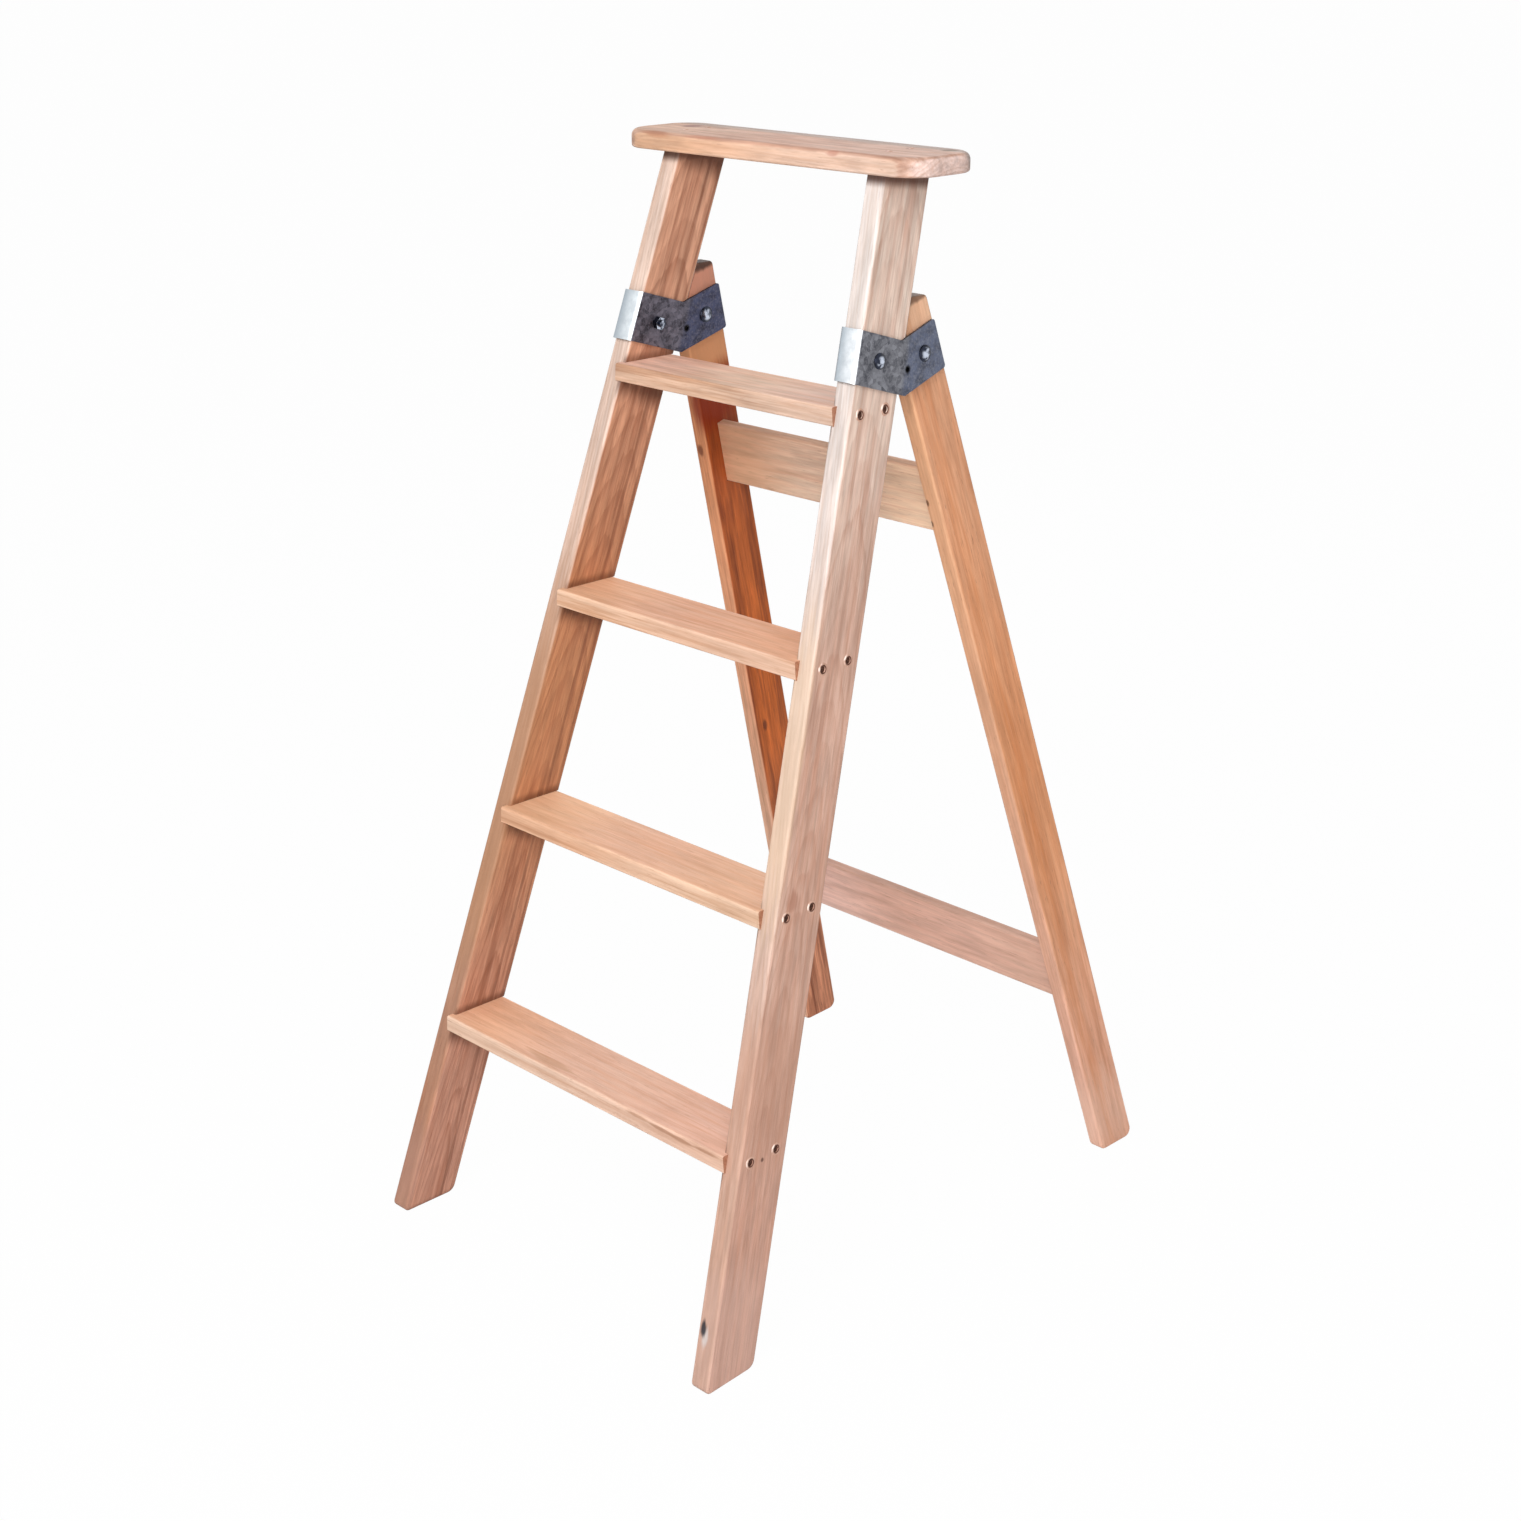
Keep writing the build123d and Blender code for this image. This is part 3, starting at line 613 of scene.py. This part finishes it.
def coat(tree, shader, colour, roughness, height, strength, distance):
    """Gives a shader its colour, its roughness and, from a height, its small bumps."""
    bump = {"Strength": strength, "Distance": distance, "Height": height}
    bumps = add_node(tree, "Bump", bump).outputs[0]
    fill_sockets(tree, shader, {"Base Color": colour, "Roughness": roughness, "Normal": bumps})


print("finish:", *(part.__name__ for part in (surface, board_place, new_finish, coat)))

# %% Dress the boards
INWARD = {"stile_left": 1, "stile_right": -1}  # side of a stile's thickness that faces the treads
# Colour and strength of the painted shade under the treads and the cap, on the stiles
SHADE_UNDER_COLOUR, SHADE_UNDER_SHARE = (78, 38, 20), 0.85
WOOD_SHINE = 0.3  # specular level, under the usual 0.5 because bare wood is dull


def wood_finish(
    name, colours, heart, slant, ring, figure, streaks, mottle, seed, side_streaks=0.3, grime=0.14,
):
    """Bare planed softwood for one board, its marks, and on stiles painted shade under treads."""
    material, tree, shader = new_finish(f"bare wood {name}")
    turn, middle, half = boards[name]
    place = board_place(tree, name)
    wood = place_group(tree, wood_group, {
        "Board": place, "Half size": Vector(half), "Grain": Vector(turn[:, 0]),
        "Normal": surface(tree, "Normal"),
        "Heart": (0, *heart), "Slant": (0, *slant), "Ring width": ring, "Figure": figure,
        "Streaks": streaks, "Side streaks": side_streaks, "Mottle": mottle, "Grime": grime,
        "Seed": seed, **{label: paint(*colour) for label, colour in zip(COLOURS, colours)},
    })
    tone = wood["Colour"]
    # On the stiles, painted shade under the treads and the cap, and in the corner over each tread
    if name in INWARD:
        spec = {"Place": surface(tree, "Object"), "Board": place, "Inward": INWARD[name]}
        mask = place_group(tree, shade_under_group, spec)["Mask"]
        tone = cover(tree, tone, mask, SHADE_UNDER_SHARE, paint(*SHADE_UNDER_COLOUR))
    for spot, reach, ragged, share, colour in MARKS.get(name, ()):
        inside = Vector(turn.T @ (np.array(spot) - middle))
        spec = {"Board": place, "Middle": inside, "Reach": reach, "Ragged": ragged}
        mask = place_group(tree, mark_group, spec)["Mask"]
        tone = cover(tree, tone, mask, share, paint(*colour))
    coat(tree, shader, tone, wood["Roughness"], wood["Height"], strength=0.3, distance=0.0004)
    shader.inputs["Specular IOR Level"].default_value = WOOD_SHINE
    return material


def dress(name, material):
    """Gives a CAD node one material."""
    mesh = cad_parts[name].data
    mesh.materials.clear()
    mesh.materials.append(material)


for name, look in WOOD.items():
    dress(name, wood_finish(name, **look))
print("boards dressed:", len(WOOD))

# %% [markdown]
# ## Galvanised straps
# The hinge straps are bent from galvanised sheet. Zinc sets in crystals as it cools, and each crystal
# has its own tone. Weather has turned the cheeks dark grey. The turn round the stile's front edge is
# painted bright as a painted reflection, with a painted glint that grows to the right, and the part
# over the leg has a painted bluish reflection. Voronoi cells give the crystals, and the distance
# behind the front of the strap tells the bright turn from the dark cheeks.

# %% Group: zinc spangle
spangle_group, given, result = new_group(
    "zinc spangle", {"Place": "vector"}, {"Crystal": "value", "Stain": "value", "Speck": "value"}
)
tree = spangle_group
warp = noise(tree, given["Place"], (60, 60, 60), 2)["Color"]
warped = vectors(tree, "ADD", given["Place"], vectors(tree, "MULTIPLY", warp, (0.006, 0.006, 0.006)))
crystal = add_node(tree, "TexVoronoi", {"Vector": warped, "Scale": 190}).outputs["Color"]
crystal = add_node(tree, "SeparateColor", {0: crystal}).outputs[0]
stain = noise(tree, given["Place"], (70, 70, 70), 5, detail=5, rough=0.62)["Fac"]
speck = noise(tree, given["Place"], (420, 420, 420), 8, detail=3, rough=0.6)["Fac"]
stain, speck = ramp(tree, stain, 0.38, 0.68), ramp(tree, speck, 0.42, 0.72)
fill_sockets(tree, result, {"Crystal": crystal, "Stain": stain, "Speck": speck})
print("zinc spangle:", len(tree.nodes), "nodes")

# %% Straps
# Dull: dark crystals, pale crystals and stains of the cheeks. Bright: shaded and lit tone of the turn.
# Heel: a painted bluish reflection on the part behind the stile, over the leg.
STRAPS = {
    "left": dict(
        dull=((64, 61, 70), (126, 122, 135), (34, 30, 36)),
        bright=((168, 178, 186), (228, 234, 238)), heel=(76, 80, 106)),
    "right": dict(
        dull=((84, 85, 92), (146, 147, 154), (58, 58, 66)),
        bright=((172, 182, 190), (240, 243, 246)), heel=(102, 109, 130)),
}
CUT_EDGE, HOLE_SHADE = (46, 42, 44), (14, 14, 18)
SPARE_HOLE = (0, 0.01157, 1.02764)  # the small open hole goes through both straps on this line
HALO = 0.006  # reach of the shade round it
STAINS, SPECKS, SMEARS = 0.7, 0.45, 0.45  # how strongly they cover the zinc
TURN = (0.0006, 0.002)  # metres in front of the stile over which the strap becomes bright, a painted reflection
HEEL = (0.002, -0.008)  # metres in front of the stile's rear face over which the heel's painted bluish reflection begins
GLINT = (-0.013, 0.008)  # metres across the turn over which a painted glint brightens it to the right


def strap_finish(side, dull, bright, heel):
    """Galvanised sheet for one strap, in the coordinates of its stile. The heel is behind the stile."""
    material, tree, shader = new_finish(f"galvanised strap {side}", metallic=0.85)
    place = board_place(tree, f"stile_{side}")
    turn, _, half = boards[f"stile_{side}"]
    axes = split(tree, place)
    front, rear = half[1], -half[1]
    # The turn is painted bright and the heel bluish: painted reflections
    bright_turn = ramp(tree, axes["Y"], front + TURN[0], front + TURN[1])
    behind = ramp(tree, axes["Y"], rear + HEEL[0], rear + HEEL[1])
    zinc = place_group(tree, spangle_group, {"Place": place})
    dark = blend(tree, zinc["Crystal"], paint(*dull[0]), paint(*dull[1]))
    dark = blend(tree, behind, dark, paint(*heel))
    dark = cover(tree, dark, zinc["Stain"], STAINS, paint(*dull[2]))
    dark = cover(tree, dark, zinc["Speck"], SPECKS, paint(*dull[1]))
    light = blend(tree, ramp(tree, axes["Z"], *GLINT), paint(*bright[0]), paint(*bright[1]))
    light = cover(tree, light, zinc["Stain"], SMEARS, paint(*bright[0]))
    tone = blend(tree, bright_turn, dark, light)
    around = {
        "Board": surface(tree, "Object"), "Middle": SPARE_HOLE,
        "Reach": (LONG, HALO, HALO), "Ragged": 0.3,
    }
    tone = blend(tree, place_group(tree, mark_group, around)["Mask"], tone, paint(*HOLE_SHADE))
    normal = surface(tree, "Normal")
    flat = sums(tree, "ABSOLUTE", measure(tree, "DOT_PRODUCT", normal, Vector(turn[:, 2])))
    flat = sums(tree, "MAXIMUM", flat, measure(tree, "DOT_PRODUCT", normal, Vector(turn[:, 1])))
    tone = blend(tree, ramp(tree, flat, 0.5, 0.65), paint(*CUT_EDGE), tone)
    rough = sums(tree, "MULTIPLY_ADD", zinc["Crystal"], 0.16, 0.38)
    height = sums(tree, "ADD", zinc["Crystal"], zinc["Stain"])
    coat(tree, shader, tone, rough, height, strength=0.15, distance=0.0003)
    return material


for side, look in STRAPS.items():
    dress(f"hinge_bracket_{side}", strap_finish(side, **look))
print("straps:", len(STRAPS))

# %% Fasteners
PLATE_RIM, PLATE_HIGHLIGHT, PLATE_SMUDGE = (44, 46, 56), (206, 214, 230), (52, 56, 70)
SCREW_DARK, SCREW_PALE = (58, 28, 18), (98, 62, 46)
plated, tree, shader = new_finish("zinc plated fastener", metallic=1)
place = surface(tree, "Object")
smudge = noise(tree, place, (160, 160, 160), 7, detail=4)["Fac"]
scratch = noise(tree, place, (900, 120, 900), 9)["Fac"]
# Heads are painted bright where they face along X and dark round the rim: a painted highlight on  the
# crown and a painted dark reflection round the rim
crown_highlight = measure(tree, "DOT_PRODUCT", surface(tree, "Normal"), (1, 0, 0))
crown_highlight = ramp(tree, sums(tree, "ABSOLUTE", crown_highlight), 0.84, 0.97)
tone = blend(tree, crown_highlight, paint(*PLATE_RIM), paint(*PLATE_HIGHLIGHT))
tone = blend(tree, ramp(tree, smudge, 0.42, 0.6), tone, paint(*PLATE_SMUDGE))
rough = sums(tree, "MULTIPLY_ADD", smudge, 0.3, 0.1)
coat(tree, shader, tone, rough, scratch, strength=0.1, distance=0.0002)

dark_screw, tree, shader = new_finish("dark screw", metallic=0.5)
smudge = noise(tree, surface(tree, "Object"), (400, 400, 400), 4, detail=4)["Fac"]
tone = blend(tree, ramp(tree, smudge, 0.35, 0.65), paint(*SCREW_DARK), paint(*SCREW_PALE))
rough = sums(tree, "MULTIPLY_ADD", smudge, 0.3, 0.3)
coat(tree, shader, tone, rough, smudge, strength=0.1, distance=0.0001)

FASTENERS = ("bracket_bolt", "bracket_nut", "pivot_rivet")
for side in STRAPS:
    for name in FASTENERS:
        dress(f"{name}_{side}", plated)
print("plated fasteners:", len(FASTENERS) * len(STRAPS))

# %% [markdown]
# ## Screws
# The CAD screws are plain shanks with flat heads. Real wood screws have a thread and a cross slot. A
# modelled helix could be swept along the shank. Here one sheet of points does it all: each row is a
# ring round the screw's axis, from the middle of the head to the point, and the radius and height of
# every point come from a formula, so the thread and the slot are only terms in it.

# %% Skin a grid of points
TOGETHER = 1e-7  # metres under which two points are one
CREASE = radians(38)  # angle between faces from which their edge stays sharp


def skin(name, shells, material, closed_rows=False, lips=None):
    """An object from grids of rings: quads between neighbouring rings, each ring closed.

    With closed_rows the last ring joins the first as well. Points that fall together are merged.
    Lips, if given, are values from 0 to 1 for the points, which the material reads.
    """
    points, faces, start = [], [], 0
    for grid in shells:
        rows, columns = grid.shape[:2]
        index = start + np.arange(rows * columns).reshape(rows, columns)
        ahead = np.roll(index, -1, axis=1)
        below, below_ahead = np.roll(index, -1, axis=0), np.roll(ahead, -1, axis=0)
        quads = np.stack([index, ahead, below_ahead, below], axis=-1)
        faces.append((quads if closed_rows else quads[:-1]).reshape(-1, 4))
        points.append(grid.reshape(-1, 3))
        start += rows * columns
    mesh = bpy.data.meshes.new(name)
    mesh.from_pydata(np.concatenate(points).tolist(), [], np.concatenate(faces).tolist())
    if lips is not None:
        values = mesh.attributes.new("lip", "FLOAT", "POINT").data
        values.foreach_set("value", np.concatenate(lips).ravel())
    work = bmesh.new()
    work.from_mesh(mesh)
    bmesh.ops.remove_doubles(work, verts=work.verts, dist=TOGETHER)
    bmesh.ops.recalc_face_normals(work, faces=work.faces)
    work.to_mesh(mesh)
    work.free()
    mesh.polygons.foreach_set("use_smooth", np.ones(len(mesh.polygons), bool))
    mesh.set_sharp_from_angle(angle=CREASE)
    mesh.materials.append(material)
    piece = bpy.data.objects.new(name, mesh)
    scene.collection.objects.link(piece)
    return piece


print("edges stay sharp from", round(CREASE, 2), "radians")

# %% The screw as a formula
HEAD, CORE, CREST = 0.004, 0.0014, 0.002  # radii of the head, the core and the thread
PITCH, POINT = 0.002, 0.005  # rise of the thread and length of the point
BAR, BAR_END = (0.0005, 0.0007), (0.0019, 0.0023)  # half width and half length of a slot's bar
SLOT_DEPTH, SLOT_TIP = 0.0015, 0.003  # depth at its middle, and radius where it would run out
TOP_RINGS, NECK_RINGS, SHANK_RINGS, RING_POINTS = 18, 6, 64, 36
TREAD_SCREW, CAP_SCREW = 0.042, 0.05  # lengths


def step(value, start, end):
    """Smooth step from 0 at start to 1 at end."""
    t = np.clip((value - start) / (end - start), 0, 1)
    return t * t * (3 - 2 * t)


def turns(count):
    """Angles of evenly spaced points round a circle."""
    return np.linspace(0, 2 * pi, count, endpoint=False)


def screw_grid(length, turn):
    """Rings of a countersunk screw with its head at z = 0 and its point at z = -length.

    Head: height -1.5 mm * (1 - r / 3 mm) inside two crossed bars 1.2 mm wide, else 0.
    Neck: a 45 degree cone from the head's radius to the core.
    Shank: radius core + (crest - core) * (1 - |2 f - 1|) ** 2, with f the fraction of
    z / pitch + angle / 2 pi, so that the ridge winds down as it goes round. The point
    tapers to nothing.
    """
    top = np.linspace(0, HEAD, TOP_RINGS)
    neck = np.linspace(HEAD, CORE, NECK_RINGS)[1:]
    shank = np.linspace(HEAD - CORE, length, SHANK_RINGS)[1:]
    radius = np.concatenate([top, neck, np.full(len(shank), CORE)])[:, None]
    height = -np.concatenate([0 * top, HEAD - neck, shank])[:, None]
    angle = turns(RING_POINTS)[None, :] + 0 * radius
    across, up = radius * np.cos(angle + turn), radius * np.sin(angle + turn)
    bars = np.minimum(np.abs(across), np.abs(up))
    slot = (1 - step(bars, *BAR)) * (1 - step(radius, *BAR_END)) * (height == 0)
    winding = (height / PITCH + angle / (2 * pi)) % 1
    ridge = (CREST - CORE) * (1 - np.abs(2 * winding - 1)) ** 2
    ridge = ridge * step(-height, HEAD - CORE, HEAD - CORE + PITCH)
    radius = (radius + ridge) * (1 - step(-height, length - POINT, length))
    height = height - slot * SLOT_DEPTH * (1 - radius / SLOT_TIP)
    return np.stack([radius * np.cos(angle), radius * np.sin(angle), height + 0 * angle], axis=-1)


print("grid of a tread screw:", screw_grid(TREAD_SCREW, 0).shape)

# %% Find the seats
SAME_LEVEL = 1e-5  # metres within which points lie on the same face


def head_middles(name, out):
    """Middle of each screw head in a node: the points furthest along out, gathered screw by screw."""
    points = points_of(name)
    reach = points @ out
    rims = points[reach > reach.max() - SAME_LEVEL]
    middles = []
    while len(rims):
        near = np.linalg.norm(rims - rims[0], axis=1) < 3 * HEAD
        middles.append((rims[near].min(axis=0) + rims[near].max(axis=0)) / 2)
        rims = rims[~near]
    return middles


def seat_axes(name, outward):
    """Grain, across and outward directions at a board's face."""
    grain = boards[name][0][:, 0]
    return np.stack([grain, np.cross(outward, grain), outward], axis=1)


print("cap screws found:", len(head_middles("cap_screws", boards["top_cap"][0][:, 2])))

# %% Drive the screws
random = np.random.default_rng(7)
# The board that a screw is driven into, the side it comes from, and its length
SCREWS = {
    "tread_screws_left": ("stile_left", -1, TREAD_SCREW),
    "tread_screws_right": ("stile_right", 1, TREAD_SCREW),
    "cap_screws": ("top_cap", 1, CAP_SCREW),
}
seats = {}
for name, (board, sign, length) in SCREWS.items():
    outward = sign * boards[board][0][:, 2]
    axes = seat_axes(board, outward)
    seats[name] = [(middle, axes) for middle in head_middles(name, outward)]
    shells = []
    for middle, axes in seats[name]:
        shells.append(middle + screw_grid(length, random.uniform(0, pi)) @ axes.T)
    piece = skin(f"threaded_{name}", shells, dark_screw)
    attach(piece, "front_frame")
    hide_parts(name)
    print(name, len(shells), "screws", len(piece.data.polygons), "faces")

# %% [markdown]
# ## Torn fibres round the tread screws
# The heads were driven below the face without drilling first, and the wood has lifted round each one
# in a ragged collar. It could be left to bump in the material, but then it would be missing from the
# mesh. Each collar is a ring with a flat oval section that is half sunk in the face. Its height and
# width wander as it goes round, and the fibres stand highest on one side. The grid also stores how far
# each point stands out, which the material reads: the inside is painted dark as painted shade in the
# hole, and the lip pale, partly torn fibre and partly a painted highlight where it stands highest.

# %% Torn wood
# Painted shade inside each collar; the pale lip is partly torn fibre and partly a painted highlight
SCREW_HOLE_SHADE, TORN_LIP_HIGHLIGHT = (84, 44, 30), (240, 220, 208)
FIBRE_PALE, FIBRE_DARK = (212, 172, 152), (186, 140, 118)
torn, tree, shader = new_finish("torn fibre")
place = board_place(tree, "stile_right")
fuzz = noise(tree, place, (120, 900, 900), 6, detail=4, rough=0.65)["Fac"]
lip = add_node(tree, "Attribute", attribute_name="lip").outputs["Fac"]
tone = blend(tree, ramp(tree, fuzz, 0.3, 0.7), paint(*FIBRE_PALE), paint(*FIBRE_DARK))
tone = blend(tree, ramp(tree, lip, 0.1, 0.4), paint(*SCREW_HOLE_SHADE), tone)
tone = blend(tree, ramp(tree, lip, 0.66, 1), tone, paint(*TORN_LIP_HIGHLIGHT))
rough = sums(tree, "MULTIPLY_ADD", fuzz, 0.3, 0.6)
coat(tree, shader, tone, rough, fuzz, strength=0.6, distance=0.0004)
print("torn wood:", len(tree.nodes), "nodes")

# %% Collars
RING, WIDE, LIFT = 0.0054, 0.0016, 0.0008  # a collar's radius, and half its section's width and height
COLLAR_POINTS, SECTION_POINTS = 56, 14
LIP_AT = radians(80)  # angle from the grain at which the lip stands up
WAVES = np.arange(2, 7)


def waving(u, size, start):
    """The sum of size * cos(n u + start) over the waves n."""
    waves = [s * np.cos(n * u + p) for n, s, p in zip(WAVES, size, start)]
    return np.sum(waves, axis=0)


def collar_grid():
    """A ragged ring round z = 0: rho = 5.4 mm + a cos(v), z = b sin(v), and each point's lip.

    a = 1.6 mm * (1 + w1 / 2), b = 0.8 mm * (0.3 + 0.7 s) * (1 + 0.7 w2), with w1 and w2 sums of five
    waves of random size, and s = (0.5 + 0.5 cos(u - 80 degrees)) ** 4, which is 1 where the lip stands
    up. The lip is 0 on the inside, where cos(v) is least.
    """
    u, v = np.meshgrid(turns(COLLAR_POINTS), turns(SECTION_POINTS))
    count = len(WAVES)
    size = random.uniform(0.3, 1.0, (2, count)) / count
    start = random.uniform(0, 2 * pi, (2, count))
    rough = [waving(u, s, p) for s, p in zip(size, start)]
    stands = (0.5 + 0.5 * np.cos(u - LIP_AT)) ** 4
    wide = WIDE * (1 + 0.5 * rough[0])
    tall = LIFT * (0.3 + 0.7 * stands) * (1 + 0.7 * rough[1])
    rho = RING + wide * np.cos(v)
    lip = step(np.cos(v), -0.7, 0.3) * (0.5 + 0.5 * np.clip(stands * (1 + rough[1]), 0, 1))
    return np.stack([rho * np.cos(u), rho * np.sin(u), tall * np.sin(v)], axis=-1), lip


for side in ("left", "right"):
    turn, middle, half = boards[f"stile_{side}"]
    rings, lips = [], []
    for seat, axes in seats[f"tread_screws_{side}"]:
        depth = abs((seat - middle) @ turn[:, 2])
        grid, lip = collar_grid()
        rings.append(seat + axes[:, 2] * (half[2] - depth) + grid @ axes.T)
        lips.append(lip)
    piece = skin(f"torn_collars_{side}", rings, torn, closed_rows=True, lips=lips)
    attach(piece, "front_frame")
    print(piece.name, len(rings), "collars", len(piece.data.polygons), "faces")

# %% [markdown]
# ## Floor, light and camera
# The ladder stands on a plain white floor in soft studio light. A lamp in front, high enough for the
# cap to shade the stiles under it, lights the fronts and the treads. A broader one lights the
# right-hand side, and a weak one the back. The floor shows nearly white to the camera and to
# reflections and still keeps a faint shadow.

# %% Floor
FLOOR = 60  # metres from the middle to a side
GLOW = 0.98  # share of the floor that is plain white to the camera
floor_mesh = bpy.data.meshes.new("floor")
corners = [(x * FLOOR, y * FLOOR, 0) for x, y in ((-1, -1), (1, -1), (1, 1), (-1, 1))]
floor_mesh.from_pydata(corners, [], [(0, 1, 2, 3)])
floor = bpy.data.objects.new("floor", floor_mesh)
scene.collection.objects.link(floor)


def looked_at(tree):
    """1 for camera, glossy and transmission rays, else 0."""
    path = add_node(tree, "LightPath").outputs
    seen = sums(tree, "MAXIMUM", path["Is Camera Ray"], path["Is Glossy Ray"])
    return sums(tree, "MAXIMUM", seen, path["Is Transmission Ray"])


white = bpy.data.materials.new("white floor")
white.use_nodes = True
tree = white.node_tree
tree.nodes.clear()
matt = add_node(tree, "BsdfDiffuse", {"Color": (0.7, 0.7, 0.7, 1)}).outputs[0]
glow = add_node(tree, "Emission", {"Color": (1, 1, 1, 1), "Strength": 1}).outputs[0]
share = times(tree, looked_at(tree), GLOW)
both = add_node(tree, "MixShader", {0: share, 1: matt, 2: glow})
add_node(tree, "OutputMaterial", {"Surface": both.outputs[0]})
floor_mesh.materials.append(white)
print("floor:", 2 * FLOOR, "m wide")

# %% World and lamps
FILL = 0.36  # strength of the light from all round
# Each lamp's place, what it is aimed at, its width and its watts
LAMPS = {
    "front lamp": ((0.7, -1.9, 2.6), (0, -0.15, 0.7), 1, 47),
    "side lamp": ((2.0, -2.0, 1.4), (0.1, 0, 0.7), 1.6, 45),
    "rear lamp": ((-1.6, 2.6, 2.2), (0, 0, 0.6), 1.6, 20),
}
world = bpy.data.worlds.new("studio")
world.use_nodes = True
scene.world = world
tree = world.node_tree
strength = sums(tree, "MULTIPLY_ADD", looked_at(tree), 1 - FILL, FILL)
fill_sockets(tree, tree.nodes["Background"], {"Strength": strength, "Color": (1, 1, 1, 1)})


def aimed(name, data, at, direction):
    """A lamp or camera in the scene at a place, looking in a direction with its top up."""
    thing = bpy.data.objects.new(name, data)
    thing.location = at
    thing.rotation_euler = Vector(direction).to_track_quat("-Z", "Y").to_euler()
    scene.collection.objects.link(thing)
    return thing


for name, (at, towards, width, watts) in LAMPS.items():
    data = bpy.data.lights.new(name, "AREA")
    data.size, data.energy = width, watts
    aimed(name, data, at, Vector(towards) - Vector(at))
scene.view_settings.view_transform = "Standard"
print("lamps:", len(LAMPS))

# %% Camera
VIEWPOINT, VIEW = (1.7605, -1.8226, 1.5176), (-0.65288, 0.66749, -0.35804)
camera_data = bpy.data.cameras.new("camera")
camera_data.sensor_width, camera_data.lens = 36, 55.23
scene.camera = aimed("camera", camera_data, VIEWPOINT, VIEW)
print("camera at", VIEWPOINT, "lens", round(camera_data.lens, 2), "mm")
